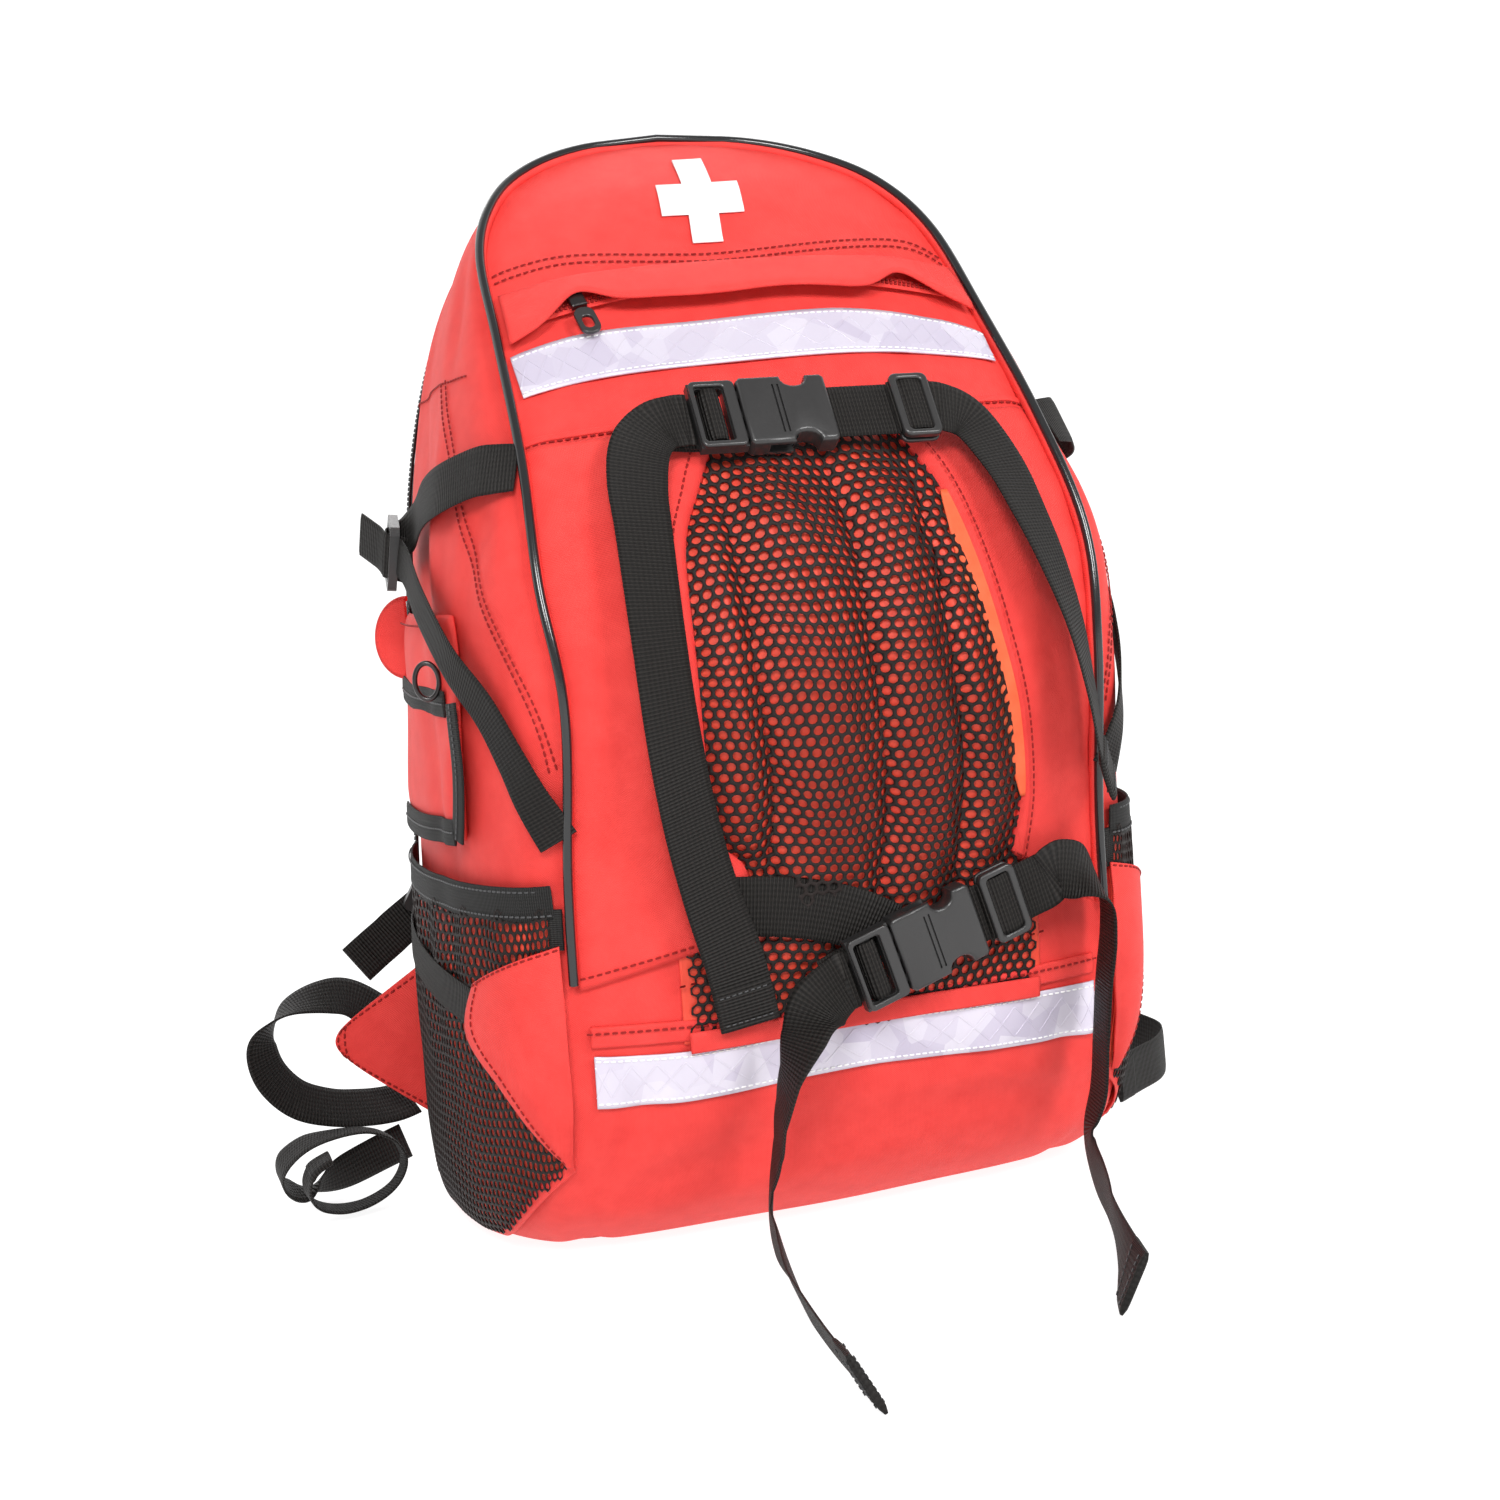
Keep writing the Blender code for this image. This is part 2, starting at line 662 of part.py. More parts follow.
def side_pockets(group):
    def bag(low, high, side, lifts):
        def surface(u, v):
            s = POCKET_FRONT + (POCKET_REAR - POCKET_FRONT) * (u if side > 0 else 1 - u) ** 1.7
            z = low + (high - low) * v
            belly = pocket_belly(s)
            rise = min(1.0, (z - 6) / 40) ** 0.6
            return flank(side, s, z, lifts[0] + lifts[1] * belly * rise)[0]
        return surface

    for name, side in SIDES:
        panel("side_mesh_pocket_" + name, bag(6, 152, side, (1.6, 4.0)), 12, 8, 1.0, group, BLACK)
        panel("pocket_band_" + name, bag(152.8, 166, side, (1.6, 4.0)), 12, 2, 1.6, group, BLACK)

        def wing(u, v, side=side):
            along = (u if side > 0 else 1 - u) ** 1.5
            s = 0.008 + 0.19 * along
            low = 52.0 + 44.0 * along ** 0.5
            high = 140.0 - 14.0 * along ** 0.5
            return flank(side, s, low + (high - low) * v, 1.6 + 4.0 * pocket_belly(s) + 2.0)[0]

        panel("pocket_wing_" + name, wing, 6, 8, 1.0, group, RED)


def side_pouch(group):
    def surface(u, v):
        s = 0.24 + 0.62 * (1 - u)
        z = 184 + 92 * v
        edge = min(1.0, 6 * min(u, 1 - u, v, 1 - v)) ** 0.5
        return flank(-1, s, z, 1.2 + 3.2 * edge)[0]

    panel("side_pouch_left", surface, 8, 8, 1.4, group, RED)
    rim = [math.radians(-90 + 18 * k) for k in range(11)]
    leaf = [(15 * math.cos(angle), 18 * math.sin(angle)) for angle in rim]
    plate("side_pouch_flap_left", leaf, [], 2.0, pouch_hinge(), group, RED, 0.75)


def pouch_hinge():
    """Frame of the pouch flap: y up the sewn edge, x out along the leaf."""
    point, normal = flank(-1, 0.90, 265, 3.2)
    return frame_at(point, normal, 0.0) @ Matrix.Rotation(math.radians(-115), 4, "Y")


# ---------------------------------------------------------------- rear zip, panel and harness

def rear_zip(group):
    low = 1.6
    levels = [low + (TOP - 0.35 - low) * i / 26 for i in range(27)]
    stations = []
    for t in levels:
        stations.append((body_point(-1.955, t, REAR_LIFT), skin_normal(-1.955, t)))
    stations.append((body_point(-1.955, TOP, REAR_LIFT), Vector((0, 0.1, 1)).normalized()))
    for t in reversed(levels):
        stations.append((body_point(1.955, t, REAR_LIFT), skin_normal(1.955, t)))
    strip("main_zip_tape", stations, 9.0, 1.2, group)
    for name, side in SIDES:
        matrix = zip_pull_frame(side) @ Matrix.Translation((0, 0, 4.8))
        tab = [(x, y - 14) for x, y in rounded(7, 18, 3)]
        outline = [(4.4, -5), (4.4, 5), (-4.4, 5), (-4.4, -5)] + tab[6:]
        hole = [(x, y - 17) for x, y in rounded(3.2, 6, 1.5, 2)]
        plate("main_zip_slider_" + name, outline, [hole], 2.6, matrix, group, METAL, 0.35)


ZIP_PULL_Z = 262.0
REAR_LIFT = 1.9


def zip_pull_frame(side):
    point, normal = flank(side, 0.955, ZIP_PULL_Z, 0.0)
    return frame_at(point, normal, 2.2 * side)


def arch(inset, low, high, steps=9):
    """Half outline of the rear opening, drawn in by inset, from the base up to the crown."""
    points = []
    for i in range(steps + 1):
        t = low + (high - low) * i / steps
        rear_z, rear_w = blend_rows(STATIONS, t)[3:5]
        points.append((max(rear_w - inset, 0.0), rear_z - inset * (t / TOP) ** 3))
    return points


def upright(y):
    """Matrix that stands a drawn outline up, facing +Y, with its middle plane at y."""
    return Matrix.Translation((0, y, 0)) @ Matrix.Rotation(math.radians(90), 4, "X")


def back_panel(group):
    for name, inset, y, thick, colour in (
            ("frame_sheet", 12.0, REAR_Y + 1.6, 1.8, PLASTIC),
            ("back_panel_cover", 3.0, REAR_Y + 4.8, 3.4, RED)):
        half = arch(inset, 0.9, TOP - 0.02)
        half[0] = (half[0][0], 4.0)
        outline = half + [(-x, z) for x, z in reversed(half)]
        plate(name, outline, [], thick, upright(y), group, colour, 0.75)
    pad = [(x, z + 225) for x, z in rounded(190, 320, 36, 4)]
    plate("back_pad", pad, [], 10.0, upright(REAR_Y + 12.4), group, BLACK, 0.9)
    yoke = [(x, z + 418) for x, z in rounded(120, 34, 8, 2)]
    plate("harness_yoke", yoke, [], 8.0, upright(REAR_Y + 11.4), group, BLACK, 0.85)


STRAP = [
    (42, 92, 424, 0.05, 1.0, 0.10), (50, 100, 410, 0.10, 0.9, 0.45), (62, 110, 388, 0.15, 0.9, 0.35),
    (76, 116, 352, 0.15, 1.0, 0.12), (86, 117, 310, 0.12, 1.0, -0.05),
    (92, 113, 262, 0.10, 1.0, -0.12), (97, 105, 214, 0.10, 1.0, -0.16), (103, 98, 174, 0.10, 1.0, -0.10),
]
STRAP_WEB = [
    (128, 90, 118, 0.1, 1, 0), (128, 87, 102, 0.1, 1, 0), (126, 82, 82, 0.1, 1, 0),
    (124, 79.2, 64, 0, 1, 0), (122, 78.9, 46, 0, 1, 0),
]
STRAP_END = [
    (146, 93, 126, 0.1, -1, 0.1), (152, 92, 122, 0.1, -1, 0.1),
    (160, 91, 117, 0.1, -1, 0.1), (169, 90, 111, 0.1, -1, 0.1),
]


def mirrored(rows, side):
    return [(side * x, y, z, side * nx, ny, nz) for x, y, z, nx, ny, nz in rows]


def shoulder_straps(group):
    for name, side in SIDES:
        stations = [(Vector(row[:3]), Vector(row[3:]).normalized())
                    for row in samples(mirrored(STRAP, side), 16)]
        strap = strip("shoulder_strap_" + name, stations, 58.0, 11.0, group)
        finish(strap, BLACK, 0.9)
        rows = mirrored(STRAP_WEB, side)
        free_strip("shoulder_webbing_" + name, rows, 12, 20.0, group)
        turn = Matrix.Rotation(math.radians(-32 * side), 4, "Y")
        lock = Matrix.Translation((side * 126, 90.5, 136)) @ turn @ upright(0)
        holes = [[(x, y + dy) for x, y in rounded(23, 3.6, 1, 1)] for dy in (-5.6, 0, 5.6)]
        plate("shoulder_lock_" + name, rounded(30, 20, 3), holes, 4.0, lock, group)
        rows = mirrored(STRAP_END, side)
        free_strip("shoulder_tail_" + name, rows, 9, 20.0, group, True)


HANDLE_Y = REAR_Y + 8.0
HANDLE_Z = 445.0


def grab_handle(group):
    half = [(34, HANDLE_Y, HANDLE_Z, 0, 1, 0.1), (34, 81, 452, 0, 1, -0.3), (32, 87, 462, 0.1, 0.9, -0.3),
            (26, 92, 473, 0.2, 0.8, 0.5), (12, 94, 482, 0.1, 0.4, 1), (0, 94.5, 484, 0, 0.4, 1)]
    rows = mirrored(half, -1) + half[-2::-1]
    free_strip("grab_handle", rows, 30, 22.0, group)


# ---------------------------------------------------------------- hip belt

HIP_X = 141.5
HIP_Y = 75.0


def hip_belt(group):
    for name, side in SIDES:
        leaf = [(HIP_X, 36), (HIP_X + 6, 34), (182, 70), (186, 78), (182, 84),
                (HIP_X + 6, 110), (HIP_X, 109)]
        outline = [(side * x, z) for x, z in leaf]
        plate("hip_wing_" + name, outline, [], 3.0, upright(HIP_Y), group, RED, 0.75)
    loop = [(-158, 90, 86), (-172, 87, 95), (-186, 84.5, 99), (-203, 83, 97), (-214, 82, 89), (-219, 82, 80),
            (-216, 82, 66), (-205, 83, 53), (-189, 84, 46), (-173, 86, 43), (-160, 89, 42), (-150, 92, 43)]
    free_strip("hip_webbing_left", across_rows(loop, LOOP_WIDTH_WAY), 34, 22.0, group)
    lead = [(-154, 94, 22, 0, -1, -0.1), (-167, 94, 18, 0, -1, -0.1), (-183, 93, 13, -0.12, -0.95, -0.25),
            (-198, 90, 9.5, -0.42, -0.6, -0.65)]
    coil = [(-210, 85, 9), (-217, 80, 15), (-217, 74, 25), (-207, 68, 34), (-192, 64, 37.5), (-177, 62, 37),
            (-166, 61, 31), (-162, 60, 21), (-168, 58, 11), (-181, 56, 5), (-195, 54, 4.5), (-206, 52, 9),
            (-210, 50, 17), (-207, 48, 26), (-198, 47, 31)]
    free_strip("hip_tail_left", lead + facing_ring(coil, (-189, 21), 0), 52, 18.0, group, True)
    rear = [(160, 94, 56), (186, 96, 40), (212, 88, 27), (229, 68, 18), (232, 44, 15), (218, 20, 14.5),
            (196, 2, 14.5), (178, -12, 14.5)]
    rows = []
    for i, (x, y, z) in enumerate(rear):
        along = Vector(rear[min(i + 1, 7)]) - Vector(rear[max(i - 1, 0)])
        normal = along.cross(Vector((0, 0, 1)))
        rows.append((x, y, z, *(-normal.normalized())))
    free_strip("hip_webbing_right", rows, 24, 22.0, group, True)


LOOP_WIDTH_WAY = (-0.69, -0.63, -0.37)


def across_rows(points, way):
    """Rows for webbing rolled into a loop, whose width always lies along one direction."""
    rows = []
    for i, point in enumerate(points):
        along = Vector(points[min(i + 1, len(points) - 1)]) - Vector(points[max(i - 1, 0)])
        rows.append((*point, *along.cross(Vector(way)).normalized()))
    return rows


def facing_ring(points, centre, lean):
    """Rows whose faces look away from a ring's centre (x, z), tipped towards the front."""
    rows = []
    for x, y, z in points:
        away = Vector((x - centre[0], 0, z - centre[1])).normalized()
        tipped = away * math.cos(math.radians(lean)) - Vector((0, 1, 0)) * math.sin(math.radians(lean))
        rows.append((x, y, z, *tipped))
    return rows


def inner_divider(group):
    def surface(u, v):
        s = 0.22 + 0.70 * v
        point = body_point(1 + s, station_of(205, 1 + s))
        return Vector(((point.x - 8.0) * (2 * u - 1), point.y, 205))

    panel("inner_divider", surface, 6, 6, 4.0, group, RED)


# ---------------------------------------------------------------- joint axes

def pivot(name, point, group, children):
    """An empty on a joint's axis, which carries the pieces that move about it."""
    empty = bpy.data.objects.new(name, None)
    empty.location = Vector(point) * MM
    group.objects.link(empty)
    bpy.context.view_layer.update()
    for child in children:
        piece = bpy.data.objects[child]
        piece.parent = empty
        piece.matrix_parent_inverse = empty.matrix_world.inverted()
    return empty


def joint_pivots(group):
    harness = ["frame_sheet", "back_panel_cover", "back_pad", "harness_yoke"]
    for name, _ in SIDES:
        harness += [part + name for part in ("shoulder_strap_", "shoulder_webbing_",
                                             "shoulder_lock_", "shoulder_tail_")]
    panel_pivot = pivot("back_panel_pivot", (0, HINGE_Y, HINGE_Z), group, harness)
    handle_pivot = pivot("grab_handle_pivot", (0, HANDLE_Y, HANDLE_Z), group, ["grab_handle"])
    handle_pivot.parent = panel_pivot
    handle_pivot.matrix_parent_inverse = panel_pivot.matrix_world.inverted()
    slider_pivot = pivot("front_zip_pivot", zip_arc()[0], group, ["front_zip_slider"])
    pull_eye = zip_slider_frame() @ Vector(PULL_AT)
    pull_pivot = pivot("front_zip_pull_pivot", pull_eye, group, ["front_zip_pull"])
    pull_pivot.parent = slider_pivot
    pull_pivot.matrix_parent_inverse = slider_pivot.matrix_world.inverted()
    for name in BUCKLES:
        matrix = buckle_frame(name)
        pieces = [name + "_buckle_male", name + "_tail_left"]
        pivot(name + "_male_guide", matrix.translation, group, pieces)
        web = matrix @ Vector((SLIDER_AT[name], 0, 0))
        pivot(name + "_slider_guide", web, group, [name + "_web_slider"])
    hip_pieces = {"left": ["hip_wing_left", "hip_webbing_left", "hip_tail_left"],
                  "right": ["hip_wing_right", "hip_webbing_right"]}
    for name, side in SIDES:
        pivot("hip_pivot_" + name, (side * HIP_X, HIP_Y, 72), group, hip_pieces[name])
        guide = zip_pull_frame(side).translation
        pivot("main_zip_guide_" + name, guide, group, ["main_zip_slider_" + name])
    pivot("pouch_flap_pivot", pouch_hinge().translation, group, ["side_pouch_flap_left"])


def build():
    clear_scene()
    group = new_collection(OBJECT_NAME)
    cutters = new_collection("cutters", True)
    main_shell(group)
    piping(group)
    cross_patch(group)
    reflective_strips(group)
    front_zip(group)
    front_pocket(group)
    for name in BUCKLES:
        female_buckle(name, group, cutters)
        male_buckle(name, group)
        web_slider(name, group, cutters)
    front_webbing(group)
    side_webbing(group)
    side_pockets(group)
    side_pouch(group)
    rear_zip(group)
    back_panel(group)
    shoulder_straps(group)
    grab_handle(group)
    hip_belt(group)
    inner_divider(group)
    joint_pivots(group)


build()
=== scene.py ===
"""Looks of the trauma backpack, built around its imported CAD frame.

Lengths are in millimetres and become metres where a mesh is made.  The skin of the pack is
the same surface that the CAD part uses: skin(a, t), where t climbs through STATIONS and a runs
round the pack (0 front middle, 1 front seam, 2 rear seam, negative on the left side).
"""
import math

import bmesh
import bpy
import numpy as np
from mathutils import Matrix, Vector


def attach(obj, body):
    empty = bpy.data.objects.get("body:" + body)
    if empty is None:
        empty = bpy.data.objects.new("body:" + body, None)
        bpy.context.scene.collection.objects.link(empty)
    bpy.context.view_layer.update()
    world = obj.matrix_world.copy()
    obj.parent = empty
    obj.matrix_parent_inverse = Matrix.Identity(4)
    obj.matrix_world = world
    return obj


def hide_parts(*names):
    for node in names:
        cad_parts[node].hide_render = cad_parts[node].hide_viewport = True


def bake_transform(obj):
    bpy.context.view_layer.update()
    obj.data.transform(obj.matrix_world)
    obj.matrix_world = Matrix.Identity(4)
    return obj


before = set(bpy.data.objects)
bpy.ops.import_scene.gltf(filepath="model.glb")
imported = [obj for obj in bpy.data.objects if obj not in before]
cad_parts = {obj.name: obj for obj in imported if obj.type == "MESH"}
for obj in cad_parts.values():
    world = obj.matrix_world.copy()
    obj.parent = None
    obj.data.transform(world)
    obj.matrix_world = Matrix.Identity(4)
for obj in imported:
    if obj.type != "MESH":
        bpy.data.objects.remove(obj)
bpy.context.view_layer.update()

MM = 0.001
ROOT = "pack_body"
SIDES = (("left", -1), ("right", 1))
REAR_Y = 70.0
FRONT_BULGE = 10.0
WEB_WIDE = 25.0
WEB_THICK = 1.4

# Front seam z, y and half width; rear seam z and half width; swell of the side between them.
STATIONS = np.array([
    (0, -58, 100, 0, 132, 20), (5, -76, 110, 4, 138, 21), (22, -99, 116, 20, 141, 22),
    (55, -115, 118, 55, 141, 24), (100, -124, 119, 100, 138, 26), (165, -131, 118, 160, 134, 26),
    (235, -147, 116, 228, 129, 25), (285, -139, 119, 280, 124, 23), (335, -114, 114, 330, 119, 19),
    (385, -76, 109, 376, 108, 14), (425, -43, 104, 412, 93, 8), (450, -20, 90, 436, 74, 4),
    (466, 0, 68, 452, 52, 2), (476, 14, 38, 462, 28, 1), (480, 22, 0, 465, 0, 0)], float)
TOP = len(STATIONS) - 1
HALVINGS = 26


# ---------------------------------------------------------------- the skin of the pack

def through(rows, t):
    """Smooth curve through equally spaced rows of numbers, read at t (0 to last row)."""
    rows = np.asarray(rows, float)
    last = len(rows) - 1
    t = np.clip(np.asarray(t, float), 0, last)
    i = np.minimum(t.astype(int), last - 1)
    f = (t - i)[..., None]
    p0, p1 = rows[np.maximum(i - 1, 0)], rows[i]
    p2, p3 = rows[i + 1], rows[np.minimum(i + 2, last)]
    cubic = (3 * p1 - p0 - 3 * p2 + p3) * f ** 3
    return 0.5 * (2 * p1 + (p2 - p0) * f + (2 * p0 - 5 * p1 + 4 * p2 - p3) * f ** 2 + cubic)


def samples(rows, count):
    """Evenly spaced places on the smooth curve through rows."""
    return through(rows, np.linspace(0, len(rows) - 1, count))


def bare_skin(a, t):
    """The CAD skin, without folds."""
    a, t = np.broadcast_arrays(np.asarray(a, float), np.asarray(t, float))
    front_z, front_y, front_w, rear_z, rear_w, swell = np.moveaxis(through(STATIONS, t), -1, 0)
    s = np.clip(np.abs(a) - 1, 0, 1)
    bow = np.maximum(np.sin(np.pi * s ** 0.62), 0) ** 0.75
    on_front = np.abs(a) <= 1
    dome = FRONT_BULGE * (1 - a * a) * np.minimum(1, front_w / 90)
    x = np.where(on_front, front_w * a, np.sign(a) * (front_w + (rear_w - front_w) * s + swell * bow))
    y = np.where(on_front, front_y - dome, front_y + (REAR_Y - front_y) * s)
    z = np.where(on_front, front_z, front_z + (rear_z - front_z) * s)
    return np.stack([x, y, z], -1)


def unit(v):
    """Vectors scaled to length 1."""
    return v / np.maximum(np.linalg.norm(v, axis=-1, keepdims=True), 1e-9)


def skin_normal(a, t):
    """Outward normals of the CAD skin."""
    step = 0.02
    t = np.clip(t, step, TOP - 2 * step)
    a = np.clip(a, -2 + step, 2 - step)
    along = bare_skin(a + step, t) - bare_skin(a - step, t)
    up = bare_skin(a, t + step) - bare_skin(a, t - step)
    return unit(np.cross(along, up))


# Soft folds in the cloth: place round the pack and height, run, half width, turn, rise.
FOLDS = [
    (-98, 230, 90, 9, 4, -1.6), (-84, 250, 80, 8, -3, 1.5), (96, 240, 90, 9, -4, -1.6),
    (82, 210, 70, 8, 3, 1.2), (-60, 40, 50, 9, 78, -2.0), (-20, 28, 60, 8, 86, 1.4),
    (70, 44, 50, 9, 100, -2.0), (40, 56, 60, 7, 94, 1.2), (-100, 55, 30, 8, 30, -2.2),
    (102, 60, 30, 8, -30, -2.2), (-45, 352, 40, 6, 80, -1.2), (50, 350, 40, 6, 98, -1.2),
    (0, 428, 60, 7, 90, -1.0), (-150, 290, 60, 10, 25, -3.0), (-180, 330, 50, 11, 15, 2.4),
    (-165, 240, 60, 10, 12, 2.4), (-215, 300, 60, 13, -10, -3.0), (-150, 400, 40, 10, 30, -2.2),
    (-190, 200, 50, 10, -15, -2.6), (150, 290, 60, 10, -25, -3.0), (180, 330, 50, 11, -15, 2.4),
    (165, 240, 60, 10, -12, 2.4), (215, 300, 60, 13, 10, -3.0), (150, 400, 40, 10, -30, -2.2),
    (190, 200, 50, 10, 15, -2.6), (-250, 380, 50, 10, 20, 2.0), (250, 380, 50, 10, -20, 2.0),
]
FRONT_RUN = 118
SIDE_RUN = 190.0
SEAM_PULL = 1.6


def fold_rise(a, z):
    """How far the cloth stands from the bare skin, by its folds and the pull of its seams."""
    on_side = np.sign(a) * (FRONT_RUN + (np.abs(a) - 1) * SIDE_RUN)
    reach = np.where(np.abs(a) <= 1, a * FRONT_RUN, on_side)
    rise = np.zeros_like(reach)
    for place, height, run, wide, turn, amount in FOLDS:
        c, s = math.cos(math.radians(turn)), math.sin(math.radians(turn))
        across = (reach - place) * c - (z - height) * s
        along = (reach - place) * s + (z - height) * c
        rise += amount * np.exp(-(across / wide) ** 2 - (along / run) ** 2)
    pucker = 1 + 0.35 * np.sin(z / 5.3) * np.sin(z / 17.0)
    rise -= SEAM_PULL * pucker * np.exp(-((np.abs(reach) - FRONT_RUN) / 6.0) ** 2)
    rise += 0.35 * np.sin(reach / 23 + z / 31) * np.sin(z / 19 - reach / 47)
    return rise


def skin(a, t, lift=0.0):
    """The cloth skin with its folds, lifted outwards."""
    point = bare_skin(a, t)
    return point + skin_normal(a, t) * (lift + fold_rise(a, point[..., 2]))[..., None]


def station(z, a):
    """The t at which the skin reaches height z on the line a."""
    z, a = np.broadcast_arrays(np.asarray(z, float), np.asarray(a, float))
    s = np.clip(np.abs(a) - 1, 0, 1)
    low, high = np.zeros(z.shape), np.full(z.shape, float(TOP))
    for _ in range(HALVINGS):
        middle = (low + high) / 2
        rows = through(STATIONS, middle)
        reached = rows[..., 0] + (rows[..., 3] - rows[..., 0]) * s
        low = np.where(reached < z, middle, low)
        high = np.where(reached < z, high, middle)
    return (low + high) / 2


def front(x, z, lift=0.0):
    """Points over the front face, and the normals there."""
    x, z, lift = np.broadcast_arrays(*[np.asarray(v, float) for v in (x, z, lift)])
    t = station(z, 0)
    a = x / np.maximum(through(STATIONS, t)[..., 2], 1)
    return skin(a, t, lift), skin_normal(a, t)


def flank(side, s, z, lift=0.0):
    """Points over a side; s is 0 at the front seam and 1 at the rear seam."""
    s, z, lift = np.broadcast_arrays(*[np.asarray(v, float) for v in (s, z, lift)])
    a = side * (1 + s)
    t = station(z, a)
    return skin(a, t, lift), skin_normal(a, t)


# ---------------------------------------------------------------- materials

def new_material(name, colour, roughness, metallic=0.0, **sockets):
    """A material whose Principled shader has these values; in socket names _ stands for a space."""
    material = bpy.data.materials.new(name)
    material.use_nodes = True
    values = {"Base Color": (*colour, 1), "Roughness": roughness, "Metallic": metallic}
    values.update({socket.replace("_", " "): value for socket, value in sockets.items()})
    for socket, value in values.items():
        shader_input(material, socket).default_value = value
    return material


def shader_input(material, socket):
    """A socket of the material's Principled shader."""
    return material.node_tree.nodes["Principled BSDF"].inputs[socket]


def add(material, kind, **values):
    """A new node, its sockets and settings given by name."""
    node = material.node_tree.nodes.new(kind)
    for key, value in values.items():
        if key in node.inputs:
            node.inputs[key].default_value = value
        else:
            setattr(node, key, value)
    return node


def join(material, source, target):
    """Link one node's output to another's input."""
    material.node_tree.links.new(source, target)


def thread_axes(material, pitch):
    """The surface's own coordinates, across (X) and along (Y), in units of one thread."""
    place = add(material, "ShaderNodeUVMap")
    scale = add(material, "ShaderNodeMapping")
    scale.inputs["Scale"].default_value = (1000 / pitch, 1000 / pitch, 1)
    join(material, place.outputs["UV"], scale.inputs["Vector"])
    parts = add(material, "ShaderNodeSeparateXYZ")
    join(material, scale.outputs["Vector"], parts.inputs[0])
    return parts


def bump_from(material, height, strength, distance):
    """Relief in the surface from a height."""
    bump = add(material, "ShaderNodeBump", Strength=strength, Distance=distance)
    join(material, height, bump.inputs["Height"])
    join(material, bump.outputs["Normal"], shader_input(material, "Normal"))


def maths(material, operation, first, second):
    """One maths node on two values, each a number or another node's output."""
    node = add(material, "ShaderNodeMath", operation=operation)
    for socket, value in zip(node.inputs, (first, second)):
        if isinstance(value, (int, float)):
            socket.default_value = value
        else:
            join(material, value, socket)
    return node.outputs[0]


def waves(material, vector, axis, turns):
    """A sine along one axis of a vector, going round so many half turns for each thread."""
    turned = maths(material, "MULTIPLY", vector.outputs[axis], turns * math.pi)
    return maths(material, "SINE", turned, 0.0)


def two_tone(material, low, high, factor, spread=(0.0, 1.0)):
    """Colour between two tones, by a factor."""
    ramp = add(material, "ShaderNodeValToRGB")
    for element, colour, position in zip(ramp.color_ramp.elements, (low, high), spread):
        element.position = position
        element.color = (*colour, 1)
    join(material, factor, ramp.inputs["Fac"])
    return ramp.outputs["Color"]


def rescaled(material, value, **limits):
    """A value mapped onto a new range; the limits not given are 0 and 1."""
    shade = add(material, "ShaderNodeMapRange")
    for limit, number in limits.items():
        shade.inputs[limit.replace("_", " ")].default_value = number
    join(material, value, shade.inputs["Value"])
    return shade.outputs[0]


def varied(material, low, high, scale, detail=6.0):
    """Colour that wanders between two tones, from noise in object space, and the noise itself."""
    place = add(material, "ShaderNodeTexCoord")
    noise = add(material, "ShaderNodeTexNoise", Scale=scale, Detail=detail, Roughness=0.6)
    join(material, place.outputs["Object"], noise.inputs["Vector"])
    return two_tone(material, low, high, noise.outputs["Fac"], (0.3, 0.7)), noise.outputs["Fac"]


def woven(name, low, high, roughness, pitch, strength, sheen=0.0):
    """Plain-woven cloth: crossing threads in relief, with slubs and uneven dye, and painted shade in the
    hollows between the threads.
    """
    material = new_material(name, high, roughness, Sheen_Weight=sheen, Sheen_Roughness=0.4,
                            Specular_IOR_Level=0.35)
    parts = thread_axes(material, pitch)
    weave = maths(material, "MULTIPLY", waves(material, parts, "X", 2), waves(material, parts, "Y", 2))
    colour, _ = varied(material, low, high, 90.0)
    # Painted shade: the colour is multiplied darker where the weave's height is low, in the hollows between
    # the threads.
    thread = add(material, "ShaderNodeMix", data_type="RGBA", blend_type="MULTIPLY")
    factor, base, shade, result = thread.inputs[0], thread.inputs[6], thread.inputs[7], thread.outputs[2]
    factor.default_value = 0.35
    join(material, colour, base)
    join(material, rescaled(material, weave, From_Min=-1.0, To_Min=0.72), shade)
    join(material, result, shader_input(material, "Base Color"))
    bump_from(material, weave, strength, 0.0003)
    return material


def ribbed(name, colour, pitch, strength):
    """Webbing: close ribs across it, crossed by a shallower and slower weave, with painted shade in the
    grooves and a painted highlight on the crests.
    """
    material = new_material(name, colour, 0.6, Specular_IOR_Level=0.22)
    parts = thread_axes(material, pitch)
    cross_weave = maths(material, "MULTIPLY", waves(material, parts, "Y", 1.3), 0.35)
    height = maths(material, "ADD", waves(material, parts, "X", 2), cross_weave)
    # Painted shade and highlight: the colour follows the ribs' height, darker in the grooves and paler on
    # the crests.
    dark, pale = [c * 0.45 for c in colour], [c * 1.9 for c in colour]
    tone = two_tone(material, dark, pale, rescaled(material, height, From_Min=-1.3, From_Max=1.3))
    join(material, tone, shader_input(material, "Base Color"))
    bump_from(material, height, strength, 0.0004)
    return material


def moulded(name, colour, roughness, metallic=0.0, coat=0.25):
    """Moulded plastic, coated metal or thread, with a fine grain in its relief and gloss."""
    material = new_material(name, colour, roughness, metallic, Coat_Weight=coat, Coat_Roughness=0.2,
                            Specular_IOR_Level=0.3 + 0.8 * coat)
    _, grain = varied(material, colour, colour, 900.0, 3.0)
    wear = rescaled(material, grain, To_Min=roughness * 0.75, To_Max=roughness * 1.35)
    join(material, wear, shader_input(material, "Roughness"))
    bump_from(material, grain, 0.12, 0.0003)
    return material


